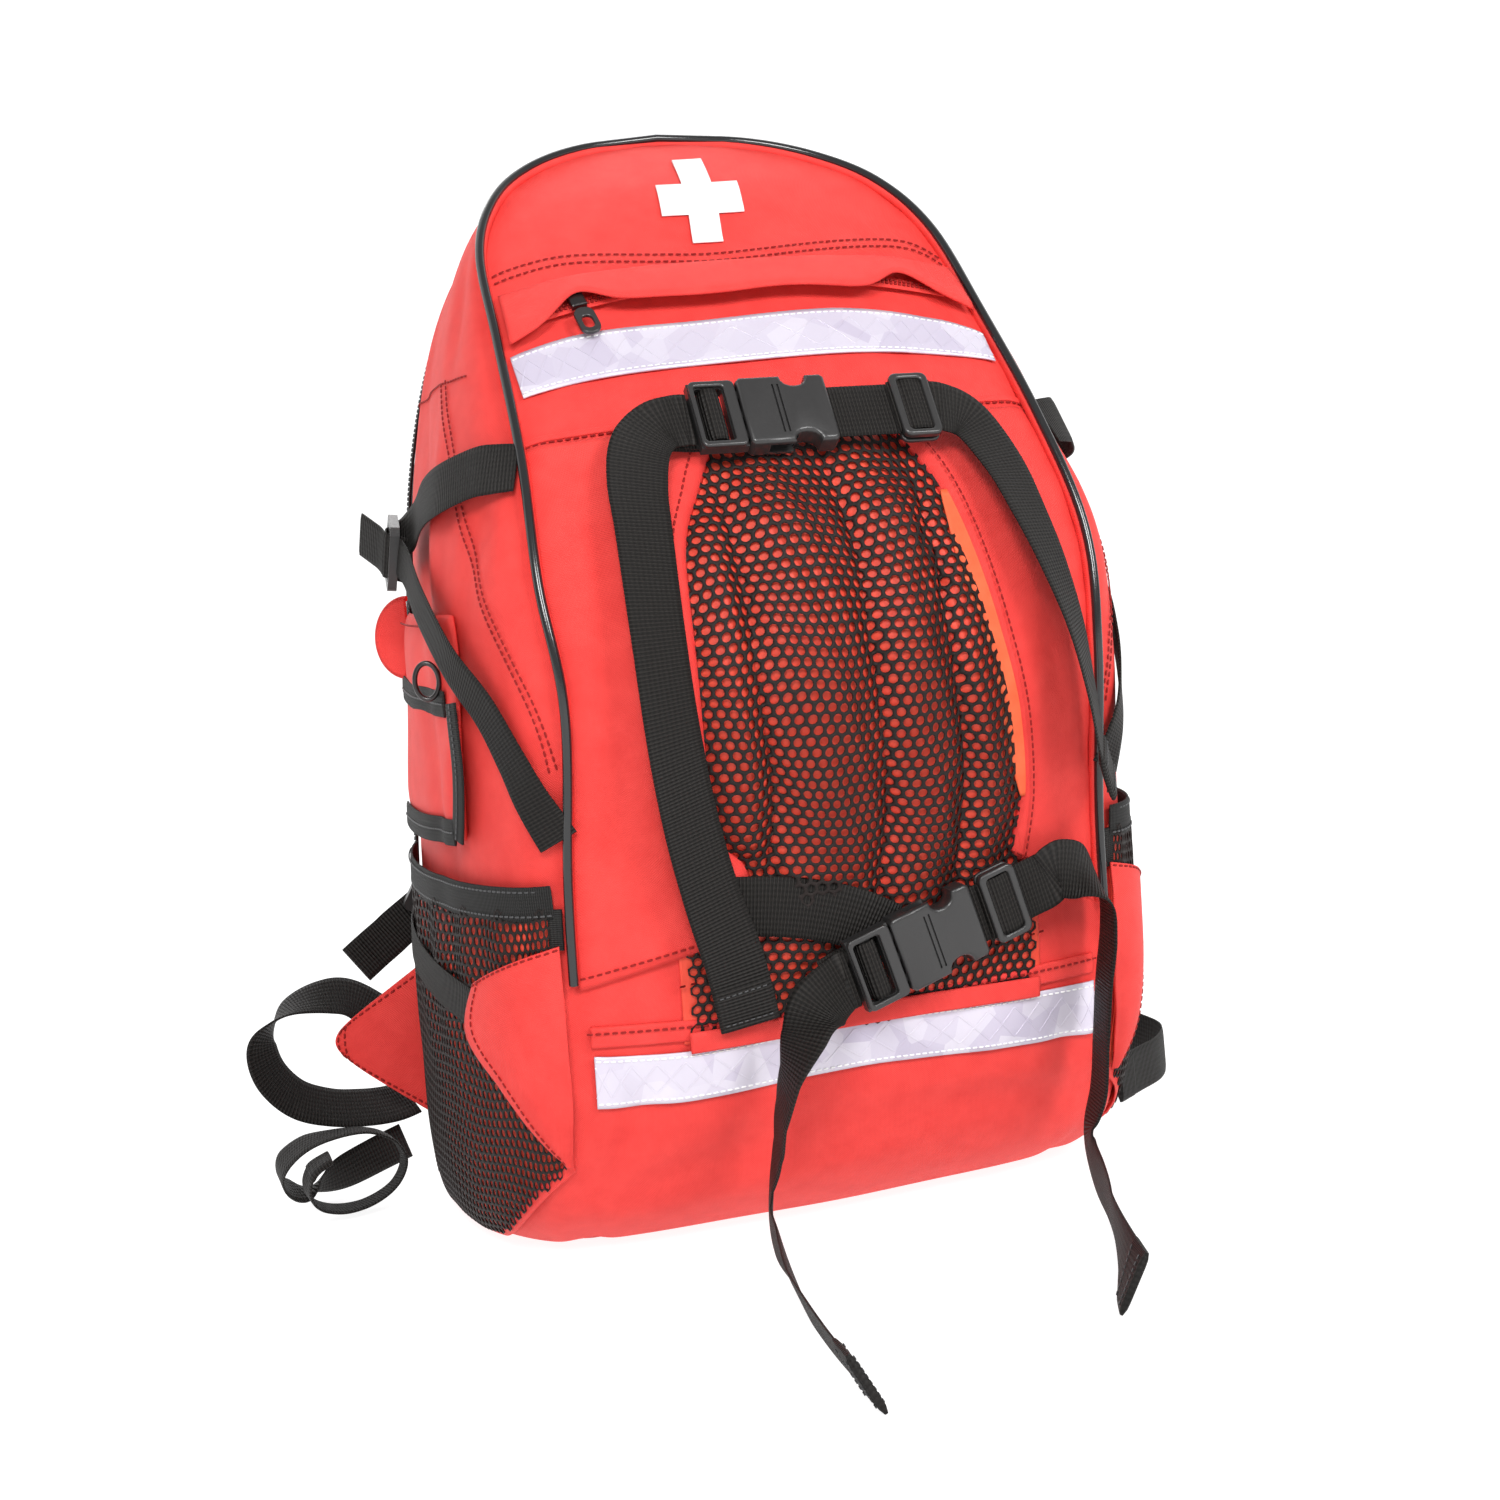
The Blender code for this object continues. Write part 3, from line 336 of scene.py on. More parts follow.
def reflective():
    """Silver tape: pale lavender facets under a clear, slightly rippled film."""
    material = new_material("reflective_tape", (0.75, 0.72, 0.80), 0.3, 0.15,
                            Coat_Weight=0.8, Coat_Roughness=0.08)
    place = add(material, "ShaderNodeTexCoord")
    facets = add(material, "ShaderNodeTexVoronoi", Scale=70.0)
    join(material, place.outputs["Object"], facets.inputs["Vector"])
    spread = add(material, "ShaderNodeSeparateColor")
    join(material, facets.outputs["Color"], spread.inputs[0])
    tone = two_tone(material, (0.55, 0.50, 0.62), (0.68, 0.64, 0.73), spread.outputs[0])
    join(material, tone, shader_input(material, "Base Color"))
    ripple = add(material, "ShaderNodeTexNoise", Scale=120.0, Detail=3.0)
    join(material, place.outputs["Object"], ripple.inputs["Vector"])
    bump_from(material, ripple.outputs["Fac"], 0.25, 0.001)
    return material


RED = woven("red_cloth", (0.80, 0.040, 0.034), (0.88, 0.056, 0.047), 0.58, 0.95, 0.5)
LINING = woven("lining_cloth", (0.80, 0.055, 0.030), (0.88, 0.085, 0.045), 0.42, 0.6, 0.2)
WEBBING = ribbed("black_webbing", (0.012, 0.0105, 0.0095), 1.5, 0.8)
BINDING = ribbed("black_binding", (0.014, 0.0135, 0.013), 0.9, 0.6)
FOAM = woven("black_spacer", (0.010, 0.010, 0.011), (0.020, 0.020, 0.022), 0.85, 2.4, 1.0, 0.05)
NET = moulded("black_net", (0.012, 0.007, 0.006), 0.65, coat=0.0)
PLASTIC = moulded("black_plastic", (0.020, 0.019, 0.019), 0.36)
PIPE = moulded("black_piping", (0.012, 0.012, 0.013), 0.16)
TAPE = reflective()
WHITE = woven("white_vinyl", (0.86, 0.86, 0.86), (0.93, 0.93, 0.93), 0.45, 0.95, 0.12)
METAL = moulded("dark_metal", (0.05, 0.045, 0.045), 0.3, 0.9)
BOARD = moulded("stiffener", (0.03, 0.03, 0.03), 0.5)
FACING = woven("orange_facing", (0.80, 0.10, 0.03), (0.86, 0.14, 0.05), 0.5, 0.7, 0.3)
RED_THREAD = moulded("red_thread", (0.26, 0.006, 0.005), 0.6, coat=0.0)
WHITE_THREAD = moulded("white_thread", (0.92, 0.92, 0.92), 0.6)
BLACK_THREAD = moulded("black_thread", (0.05, 0.05, 0.052), 0.6)


# ---------------------------------------------------------------- makers of pieces

def new_object(name, data):
    """An object in the scene around a mesh, curve, camera or light."""
    thing = bpy.data.objects.new(name, data)
    bpy.context.scene.collection.objects.link(thing)
    return thing


def piece(name, points, faces, material, body=ROOT, uv=None, stands_for=()):
    """A mesh object from points in millimetres and lists of corners, riding on its body."""
    mesh = bpy.data.meshes.new(name)
    points = np.asarray(points, float).reshape(-1, 3) * MM
    mesh.from_pydata(points.tolist(), [], faces)
    if uv is not None:
        layer = mesh.uv_layers.new(name="UVMap")
        corner = np.zeros(len(mesh.loops), int)
        mesh.loops.foreach_get("vertex_index", corner)
        layer.data.foreach_set("uv", (np.asarray(uv, float).reshape(-1, 2)[corner] * MM).ravel())
    mesh.polygons.foreach_set("use_smooth", [True] * len(mesh.polygons))
    mesh.materials.append(material)
    return settle(new_object(name, mesh), body, stands_for)


def settle(thing, body, stands_for):
    """Hang a piece on its body's empty, and hide the CAD nodes that it replaces."""
    if body:
        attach(thing, body)
    if stands_for:
        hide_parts(*stands_for)
    return thing


def lattice(rows, columns):
    """Quads of a grid whose points are stored row by row."""
    j, i = np.mgrid[0:rows - 1, 0:columns - 1]
    k = (j * columns + i).ravel()
    return np.stack([k, k + 1, k + columns + 1, k + columns], -1)


def tube_faces(count, ring):
    """Faces of a closed tube: count rings of points, and a flat cap at each end."""
    j, i = np.mgrid[0:count - 1, 0:ring]
    k, n = (j * ring + i).ravel(), (j * ring + (i + 1) % ring).ravel()
    walls = np.stack([k, k + ring, n + ring, n], -1).tolist()
    return walls + [list(range(ring)), list(range((count - 1) * ring, count * ring))[::-1]]


def run_lengths(points):
    """Distance along a line from its start to each of its points."""
    steps = np.linalg.norm(np.diff(points, axis=0), axis=-1)
    return np.concatenate([[0], np.cumsum(steps)])


def cloth(name, points, material, thick=1.0, body=ROOT, stands_for=(), keep=None, offset=1.0):
    """A sheet over a grid of points (rows, columns, 3), with real thickness."""
    rows, columns = points.shape[:2]
    across = run_lengths(points[rows // 2])
    along = run_lengths(points[:, columns // 2])
    uv = np.stack(np.meshgrid(across, along), -1)
    faces = lattice(rows, columns)
    if keep is not None:
        faces = faces[keep.ravel()]
    thing = piece(name, points, faces.tolist(), material, body, uv, stands_for)
    if keep is not None:
        drop_loose(thing)
    return thicken(thing, thick, offset)


def thicken(thing, thick, offset):
    """Real thickness for a sheet: offset 1 is along its normals, -1 against them, 0 both ways."""
    solid = thing.modifiers.new("thickness", "SOLIDIFY")
    solid.thickness = thick * MM
    solid.offset = offset
    return thing


def drop_loose(thing):
    """Remove the points that no face uses."""
    work = bmesh.new()
    work.from_mesh(thing.data)
    bmesh.ops.delete(work, geom=[v for v in work.verts if not v.link_faces], context="VERTS")
    work.to_mesh(thing.data)
    work.free()


def ribbon(name, points, normals, wide, thick, material=WEBBING, body=ROOT, stands_for=(), tab=0.0):
    """Webbing along points: soft edges, ribs by its material, a folded tab at its end."""
    points, normals = np.asarray(points, float), unit(np.asarray(normals, float))
    count = len(points)
    tangent = unit(np.gradient(points, axis=0))
    across = unit(np.cross(normals, tangent))
    face = np.cross(tangent, across)
    length = run_lengths(points)
    thicks = np.full(count, thick / 2)
    if tab:
        thicks = np.where(length > length[-1] - tab, thick * 1.15, thicks)
        thicks[-1] *= 0.6
    steps = np.linspace(-1, 1, 11)
    profile = 1 - 0.55 * np.abs(steps) ** 8
    ring_u = np.concatenate([steps, steps[::-1]])
    ring_v = np.concatenate([profile, -profile[::-1]])
    ring_x = ring_u * wide / 2
    grid = (points[:, None] + across[:, None] * ring_x[:, None]
            + face[:, None] * (ring_v * thicks[:, None])[..., None])
    uv = np.stack(np.broadcast_arrays(length[:, None], ring_x[None]), -1)
    return piece(name, grid, tube_faces(count, len(ring_u)), material, body, uv, stands_for)


def free_ribbon(name, rows, count, wide, body=ROOT, stands_for=(), tab=0.0):
    """Webbing through rows of (x, y, z, normal x, normal y, normal z)."""
    spots = samples(rows, count)
    return ribbon(name, spots[:, :3], spots[:, 3:], wide, WEB_THICK, WEBBING, body, stands_for, tab)


def stitches(name, paths, thread, body=ROOT, pitch=3.4, radius=0.46):
    """Running stitches: one small rounded bead of thread for each, along (points, normals)."""
    rings = np.array([(-1.0, 0.0), (-0.75, 0.8), (0.75, 0.8), (1.0, 0.0)])
    corners = 6
    angles = np.arange(corners) * 2 * math.pi / corners
    all_points, all_faces = [], []
    for points, normals in paths:
        length = run_lengths(points)
        count = max(int(length[-1] / pitch), 1)
        at = (np.arange(count) + 0.5) * length[-1] / count
        centre, up, ahead = [np.stack([np.interp(at, length, values[:, k]) for k in range(3)], -1)
                             for values in (points, normals, np.gradient(points, axis=0))]
        up, ahead = unit(up), unit(ahead)
        side = np.cross(up, ahead)
        for c, u, a, s in zip(centre, up, ahead, side):
            first = len(all_points)
            for forward, size in rings:
                for angle in angles:
                    offset = s * math.cos(angle) * 1.25 + u * math.sin(angle)
                    all_points.append(c + a * (forward * pitch * 0.36) + offset * (radius * max(size, 0.25)))
            for base in range(first, len(all_points) - corners, corners):
                for k in range(corners):
                    n = (k + 1) % corners
                    all_faces.append([base + k, base + n, base + corners + n, base + corners + k])
            all_faces.append(list(range(first, first + corners))[::-1])
            all_faces.append(list(range(len(all_points) - corners, len(all_points))))
    return piece(name, all_points, all_faces, thread, body)


def pipe(name, points, radius, material, body=ROOT, stands_for=(), cyclic=False):
    """A round cord along points; cyclic joins its two ends."""
    curve = bpy.data.curves.new(name, "CURVE")
    curve.dimensions = "3D"
    curve.bevel_depth = radius * MM
    curve.bevel_resolution = 4
    curve.use_fill_caps = not cyclic
    spline = curve.splines.new("POLY")
    spline.points.add(len(points) - 1)
    for target, point in zip(spline.points, points):
        target.co = (*[float(c) * MM for c in point], 1.0)
    spline.use_cyclic_u = cyclic
    spline.use_smooth = True
    curve.materials.append(material)
    return settle(new_object(name, curve), body, stands_for)


def net(name, surface, inside, size, pitch, stands_for=()):
    """Knitted mesh with six-sided holes: surface(u, v) in millimetres, kept where inside(u, v)."""
    wide, high = size
    step_v = pitch * math.sqrt(3) / 2
    corner = np.radians(np.arange(6) * 60 + 30)
    hole = np.radians(np.arange(12) * 30 + 30)
    outer_r = pitch / math.sqrt(3)
    hole_r = pitch * 0.375
    merge_steps = 20  # corners of neighbours within 1/20 mm are one point
    flat, faces = [], []
    for row in range(int(high / step_v) + 1):
        for column in range(int(wide / pitch) + 1):
            u = column * pitch + (pitch / 2 if row % 2 else 0)
            v = row * step_v
            if not inside(u, v):
                continue
            first = len(flat)
            flat += [(u + outer_r * math.cos(w), v + outer_r * math.sin(w)) for w in corner]
            flat += [(u + hole_r * math.cos(w), v + hole_r * math.sin(w)) for w in hole]
            for k in range(6):
                n = (k + 1) % 6
                ring = first + 6
                faces.append([first + k, first + n, ring + 2 * n, ring + 2 * k + 1])
                faces.append([first + k, ring + 2 * k + 1, ring + 2 * k])
    flat = np.array(flat)
    _, keep, back = np.unique(np.round(flat * merge_steps), axis=0, return_index=True, return_inverse=True)
    back = back.ravel()
    faces = [[int(back[k]) for k in face] for face in faces]
    spots = flat[keep]
    thing = piece(name, surface(spots[:, 0], spots[:, 1]), faces, NET, ROOT, spots, stands_for)
    return thicken(thing, 0.7, 0.0)


def on_front(points, count, lift):
    """A smooth line over the front through (x, z) points."""
    spots = samples(points, count)
    return front(spots[:, 0], spots[:, 1], lift)


def on_flank(side, points, count, lift):
    """A smooth line over a side through (s, z) points."""
    spots = samples(points, count)
    return flank(side, spots[:, 0], spots[:, 1], lift)


def between(low, high, columns, rows, lift):
    """A grid over the front between two lines of (x, z) points."""
    low, high = samples(low, columns), samples(high, columns)
    v = np.linspace(0, 1, rows)[:, None, None]
    spots = low[None] * (1 - v) + high[None] * v
    return front(spots[..., 0], spots[..., 1], lift)[0]


def metres(matrix):
    """The same placement, its translation in metres."""
    placed = matrix.copy()
    placed.translation = matrix.translation * MM
    return placed


def frame_at(point, normal, slope):
    """Local frame on the skin: x along the strap, sloping up by slope degrees, z outwards."""
    point, normal = Vector(point), Vector(normal)
    level = Vector((0, 0, 1)).cross(normal).normalized()
    rise = normal.cross(level)
    angle = math.radians(slope)
    x_axis = level * math.cos(angle) + rise * math.sin(angle)
    matrix = Matrix((x_axis, normal.cross(x_axis), normal)).transposed().to_4x4()
    matrix.translation = point
    return matrix


def bare_front(x, z, lift):
    """As front(), on the CAD skin without the folds: where hard parts and straps lie."""
    t = station(z, 0)
    a = np.asarray(x / through(STATIONS, t)[..., 2])
    normal = skin_normal(a, t)
    return bare_skin(a, t) + normal * lift, normal


def bare_flank(side, s, z, lift):
    """As flank(), on the CAD skin."""
    a = np.asarray(side * (1 + s), float)
    t = station(z, a)
    normal = skin_normal(a, t)
    return bare_skin(a, t) + normal * lift, normal


# ---------------------------------------------------------------- camera, floor and light

def stage_sheet(name, corners, material):
    """A flat sheet of the studio, its corners in metres."""
    mesh = bpy.data.meshes.new(name)
    mesh.from_pydata(corners, [], [(0, 1, 2, 3)])
    mesh.materials.append(material)
    new_object(name, mesh)


# The camera looks at TARGET from DISTANCE, both in millimetres.
AZIMUTH, ELEVATION, ROLL = np.radians((-19, 5, 5.7)).tolist()
TARGET = Vector((0, -27, 200))
DISTANCE = 1134
SENSOR_WIDE = 36
LENS = 60
# The studio in metres; each light has a name, place, size and power.
STUDIO_HALF = 20.0
BACKDROP_Y = 4
STUDIO_GLOW = 0.9
WORLD_LIGHT = 0.42
LIGHTS = (("key", (-0.8, -1.9, 1.5), 0.7, 34), ("fill", (0.8, -1.7, 1.3), 0.6, 22),
          ("back", (0.2, 1.8, 1.8), 1.4, 16))
LIGHTS_AIM = Vector((0, 0, 0.25))


def stage():
    """A camera at the front left, tipped to one side, a pale studio and soft light."""
    back = Vector((math.sin(AZIMUTH) * math.cos(ELEVATION), -math.cos(AZIMUTH) * math.cos(ELEVATION),
                   math.sin(ELEVATION)))
    right = Vector((math.cos(AZIMUTH), math.sin(AZIMUTH), 0))
    up = back.cross(right)
    rolled_right = right * math.cos(ROLL) - up * math.sin(ROLL)
    rolled_up = right * math.sin(ROLL) + up * math.cos(ROLL)
    camera = new_object("camera", bpy.data.cameras.new("camera"))
    camera.data.sensor_width = SENSOR_WIDE
    camera.data.lens = LENS
    matrix = Matrix((rolled_right, rolled_up, back)).transposed().to_4x4()
    matrix.translation = (TARGET + back * DISTANCE) * MM
    camera.matrix_world = matrix
    bpy.context.scene.camera = camera

    paper = new_material("white_paper", (0.3, 0.3, 0.3), 0.9, Emission_Color=(1, 1, 1, 1),
                         Emission_Strength=STUDIO_GLOW)
    half = STUDIO_HALF
    stage_sheet("floor", [(-half, -half, 0), (half, -half, 0), (half, half, 0), (-half, half, 0)], paper)
    stage_sheet("backdrop", [(-half, BACKDROP_Y, 0), (half, BACKDROP_Y, 0), (half, BACKDROP_Y, half),
                             (-half, BACKDROP_Y, half)], paper)

    world = bpy.data.worlds.new("studio")
    world.use_nodes = True
    background = world.node_tree.nodes["Background"]
    background.inputs["Color"].default_value = (1, 1, 1, 1)
    background.inputs["Strength"].default_value = WORLD_LIGHT
    bpy.context.scene.world = world
    bpy.context.scene.view_settings.view_transform = "Standard"
    for name, place, size, power in LIGHTS:
        light = new_object(name, bpy.data.lights.new(name, "AREA"))
        light.data.size = size
        light.data.energy = power
        light.location = place
        light.rotation_euler = (LIGHTS_AIM - Vector(place)).to_track_quat("-Z", "Y").to_euler()


# ---------------------------------------------------------------- body cloth

def body():
    """The stuffed skin, and the flat base under it."""
    side_marks = np.linspace(0, 1, 70) ** 1.25
    marks = np.concatenate([-1 - side_marks[::-1], np.linspace(-1, 1, 111)[1:-1], 1 + side_marks])
    a, t = np.meshgrid(marks, np.linspace(0, TOP, 250))
    points = skin(a, t)
    points[..., 2] = np.maximum(points[..., 2], 0.3)
    cloth("body_cloth", points, RED, 1.6, stands_for=["main_shell"], offset=-1.0)
    rim = points[0]
    rings = np.linspace(1, 0, 24)[:, None, None]
    closed = np.concatenate([rim, rim[:1]])
    centre = np.array((0, -10, 0.4))
    base = centre + (closed[None] - centre) * rings
    base[..., 2] = 0.35
    cloth("base_cloth", base[::-1], RED, 1.2)


def arch(a, levels, lift, crown, crown_normal):
    """A line up the left side at -a, over the crown and down the right side at a."""
    lines = []
    for side in (-a, a):
        marks = np.full(len(levels), side)
        normal = skin_normal(marks, levels)
        lines.append((bare_skin(marks, levels) + normal * lift, normal))
    (left, left_normal), (right, right_normal) = lines
    return (np.concatenate([left, [crown], right[::-1]]),
            np.concatenate([left_normal, [crown_normal], right_normal[::-1]]))


def piping():
    """The cord along the front seam, the flange it is sewn to, and the tape of the rear seam."""
    points, outward = arch(1.0, np.linspace(4.4, TOP - 0.8, 90), 2.4, (0, 19.5, 482.2), (0, -0.3, 1))
    pipe("front_piping_cord", points, 2.0, PIPE, stands_for=["front_piping"])
    ribbon("front_piping_flange", points - outward * 2.9, outward, 4.2, 3.6, RED)
    for name, side in SIDES:
        t = np.linspace(0.9, TOP - 0.6, 120)
        line = bare_skin(np.full(120, side * 2.0), t) + np.array((0, 0.4, 0))
        outward = skin_normal(np.full(120, side * 2.0), t)
        ribbon("rear_binding_" + name, line + outward * 0.6, outward, 5.0, 1.4, BINDING)


def cross():
    """The printed cross, a grid of small squares with its corners left out."""
    arm, half, height = 8, 22, 446.0
    marks = np.arange(-half, half + 1)
    x, z = np.meshgrid(marks, marks)
    inner = np.abs(marks[:-1] + 0.5) < arm
    keep = inner[None, :] | inner[:, None]
    lean = 0.22
    wide_scale, high_scale = 0.87, 0.96
    print_grid = front(x * wide_scale + lean * z, z * high_scale + height, 0.7)[0]
    cloth("cross_print", print_grid, WHITE, 0.6, stands_for=["cross_patch"], keep=keep)


# Edges of the two silver bands, as (x, z) points.
UPPER_TOP = [(-106, 379), (-73, 386), (-23, 388), (42, 389), (83, 382), (106, 374)]
UPPER_LOW = [(-106, 361), (-73, 366), (-30, 368.5), (38, 369), (75, 366), (106, 361)]
LOWER_TOP = [(-113, 93), (-70, 90), (-4, 93), (66, 90), (113, 90)]
LOWER_LOW = [(-113, 71), (-71, 69), (0, 72), (66, 68), (113, 66)]


def tape_wave(t):
    """How far the silver tape ripples off the cloth, along its length."""
    return 0.5 * np.sin(37 * t) * np.sin(11 * t)


def reflective_bands():
    """Two bands, each with a row of stitches along both edges and embossed diamonds."""
    paths = []
    for name, low, top in (("upper", UPPER_LOW, UPPER_TOP), ("lower", LOWER_LOW, LOWER_TOP)):
        grid = between(low, top, 160, 14, 0.8)
        grid[:, :, 1] -= tape_wave(np.linspace(0, 1, 160))[None]
        cloth("reflective_band_" + name, grid, TAPE, 0.8, stands_for=["reflective_strip_" + name])
        low_line, top_line = samples(low, 120), samples(top, 120)
        for share in (0.09, 0.91):
            spots = low_line * (1 - share) + top_line * share
            line, outward = front(spots[:, 0], spots[:, 1], 1.8)
            line[:, 1] -= tape_wave(np.linspace(0, 1, 120))
            paths.append((line, outward))
        teeth = 9
        for part, start in (("fall", 0.0), ("rise", 0.5)):
            zigzag = np.linspace(0, 1, teeth * 30)
            share = 0.2 + 0.6 * np.abs(((zigzag * teeth + start) % 1) * 2 - 1)
            low_run, top_run = samples(low, len(zigzag)), samples(top, len(zigzag))
            spots = low_run * (1 - share[:, None]) + top_run * share[:, None]
            line, outward = front(spots[:, 0], spots[:, 1], 1.66)
            line[:, 1] -= tape_wave(zigzag)
            ribbon("band_emboss_%s_%s" % (name, part), line, outward, 0.7, 0.3, TAPE)
    stitches("band_stitching", paths, WHITE_THREAD, pitch=3.0, radius=0.4)


# ---------------------------------------------------------------- front zip

# The front zip runs along an arc over the crown of the front pocket.
ZIP_HALF = 95.0
ZIP_TOP = 405.0
ZIP_DROP = 12.0
ZIP_SINK = 2.0
ZIP_LIFT = 2.4
SLIDER_X = -73.0
PULL_AT = (0.0, -4.6, 3.4)


def zip_arc():
    """Centre, down direction and radius of the arc that the front zip follows."""
    crown, _ = bare_front(0.0, ZIP_TOP, ZIP_LIFT)
    sag = math.hypot(ZIP_DROP, ZIP_SINK)
    down = np.array((0, -ZIP_SINK, -ZIP_DROP)) / sag
    radius = (ZIP_HALF ** 2 + sag ** 2) / (2 * sag)
    return crown + down * radius, down, radius


def on_zip(x, out=0.0):
    """Points on the zip's arc, lifted out of the cloth, and the normals there."""
    centre, down, radius = zip_arc()
    angle = np.arcsin(np.asarray(x, float) / radius)
    point = centre - down * (radius * np.cos(angle))[..., None]
    point[..., 0] += radius * np.sin(angle)
    outward = bare_front(np.asarray(x, float), point[..., 2], 0.0)[1]
    return point + outward * out, outward


def front_zip():
    """Tape, teeth and rain flap; the flap's edge rises over the pull at both ends of its run."""
    x = np.linspace(-ZIP_HALF, ZIP_HALF, 120)
    line, outward = on_zip(x, 0.3)
    ribbon("front_zip_cloth", line, outward, 6.4, 0.9, RED, stands_for=["front_zip_tape"])
    teeth = np.linspace(-ZIP_HALF + 2, ZIP_HALF - 2, 95)
    paths = []
    for share in (-0.9, 0.9):
        spots, up = on_zip(teeth, 1.1)
        spots = spots + np.cross(up, unit(np.gradient(spots, axis=0))) * share
        paths.append((spots, up))
    stitches("front_zip_teeth", paths, RED_THREAD, pitch=2.0, radius=0.7)
    a = np.linspace(-0.96, 0.96, 120)
    v = np.linspace(0, 1, 22)[:, None]
    top = 413.5 - 9.0 * np.abs(a) ** 3
    over_pull = 8.6 * np.exp(-((np.abs(a) - 0.678) / 0.12) ** 2)
    low = 395.5 - 14.0 * np.abs(a) ** 3 + 0.8 * np.sin(a * 9) + over_pull
    z = low + (top - low) * v
    a_grid = np.broadcast_to(a, z.shape)
    lift = 0.3 + 8.8 * (1 - v) ** 0.4 * (1 - 0.75 * np.abs(a) ** 6)
    curl = np.clip((0.12 - v) / 0.12, 0, 1)
    lift = lift - 1.2 * curl ** 2
    t = station(z, a_grid)
    grid = bare_skin(a_grid, t) + skin_normal(a_grid, t) * lift[..., None]
    cloth("front_zip_rain_flap", grid, RED, 1.1, stands_for=["front_zip_flap"])
    recoat("front_zip_slider", METAL, 0.5)
    wide, high, slot_wide, slot_high, drop, slot_drop = 9, 15, 4.5, 7, -8.0, -9.0
    tab = [(x, y + drop) for x, y in rounded(wide, high, wide * 0.45)]
    slot = [(x, y + slot_drop) for x, y in rounded(slot_wide, slot_high, slot_wide * 0.48)]
    matrix = zip_slider_frame() @ Matrix.Translation(PULL_AT)
    plate("front_pull_tab", tab, [slot], 1.8, matrix, PLASTIC, "front_zip_pull", ["front_zip_pull"])


def zip_slider_frame():
    """Local frame of the slider at rest, x along the zip."""
    point, outward = on_zip(SLIDER_X)
    return frame_at(point, outward, -math.degrees(math.asin(SLIDER_X / zip_arc()[2])))


def rounded(wide, high, radius, corner_steps=6):
    """A rectangle with round corners, as points."""
    points = []
    for sx, sy, start in ((1, 1, 0), (-1, 1, 90), (-1, -1, 180), (1, -1, 270)):
        for k in range(corner_steps + 1):
            angle = math.radians(start + 90 * k / corner_steps)
            points.append((sx * (wide / 2 - radius) + radius * math.cos(angle),
                           sy * (high / 2 - radius) + radius * math.sin(angle)))
    return points


def plate(name, outline, holes, thick, matrix, material, body=ROOT, stands_for=(), bevel=0.5):
    """A flat moulded piece with softened edges: a 2D outline with holes, given thickness."""
    curve = bpy.data.curves.new(name, "CURVE")
    curve.dimensions = "2D"
    curve.fill_mode = "BOTH"
    curve.extrude = (thick / 2 - bevel) * MM
    curve.bevel_depth = bevel * MM
    curve.bevel_resolution = 2
    curve.offset = -bevel * MM
    for loop in [outline] + holes:
        spline = curve.splines.new("POLY")
        spline.points.add(len(loop) - 1)
        for point, (x, y) in zip(spline.points, loop):
            point.co = (x * MM, y * MM, 0.0, 1.0)
        spline.use_cyclic_u = True
    curve.materials.append(material)
    thing = new_object(name, curve)
    thing.matrix_world = metres(matrix)
    return settle(thing, body, stands_for)


def recoat(node, material, bevel=0.0):
    """Give a CAD node its real finish, and round its edges a little."""
    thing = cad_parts[node]
    thing.data.materials.clear()
    thing.data.materials.append(material)
    for polygon in thing.data.polygons:
        polygon.material_index = 0
    if bevel:
        rounding = thing.modifiers.new("rounding", "BEVEL")
        rounding.width = bevel * MM
        rounding.segments = 3
        rounding.limit_method = "ANGLE"
        rounding.harden_normals = False


# ---------------------------------------------------------------- front window and wings

# Edges of the window as (x, z) points, the x of its sewn-down gathers, and its lower left corner.
LEFT_EDGE = [(-44, 137), (-46, 163), (-58, 180), (-63, 234), (-60, 290), (-47, 318), (-34, 338)]
RIGHT_EDGE = [(72, 152), (77, 180), (74, 214), (66, 250), (59, 288), (51, 316), (38, 338)]
COLUMNS = (-72.0, -39.0, 11.0, 46.0, 84.0)
WINDOW_X = -74
WINDOW_Z = 94


def edge_x(edge, z):
    """Where an edge of the window is at height z."""
    spots = samples(edge, 60)
    return np.interp(z, spots[:, 1], spots[:, 0])


def gather(x, z):
    """Lift of the gathered cloth in the window: upright puffs between sewn-in valleys."""
    sway = 3.0 * np.sin(z / 41) + 1.5 * np.sin(z / 17)
    rise = np.zeros_like(x)
    for low, high in zip(COLUMNS, COLUMNS[1:]):
        share = np.clip((x + sway - low) / (high - low), 0, 1)
        rise = np.maximum(rise, np.sin(np.pi * share) ** 0.75)
    depth = 9.0 * np.clip((z - 100) / 60, 0.15, 1) * np.clip((345 - z) / 45, 0.25, 1)
    from_left = np.clip((x - edge_x(LEFT_EDGE, z)) / 16, 0.0, 1)
    from_right = np.clip((edge_x(RIGHT_EDGE, z) - x) / 16, 0.0, 1)
    small = 0.7 * np.sin(x / 3.1 + z / 23) * np.sin(z / 11 + x / 9)
    crumple = 1.8 * np.exp(-((x - 46) / 12) ** 2 - ((z - 290) / 45) ** 2)
    small = small + crumple * np.sin(x / 1.3 + z / 5) * np.sin(z / 2.7 + x / 4)
    return (rise * depth + small) * from_left * from_right


def flat_at_hem(z):
    """Share of the gathers' height: none along the sewn hem, all of it a little above."""
    return np.clip((z - 97) / 16, 0, 1)


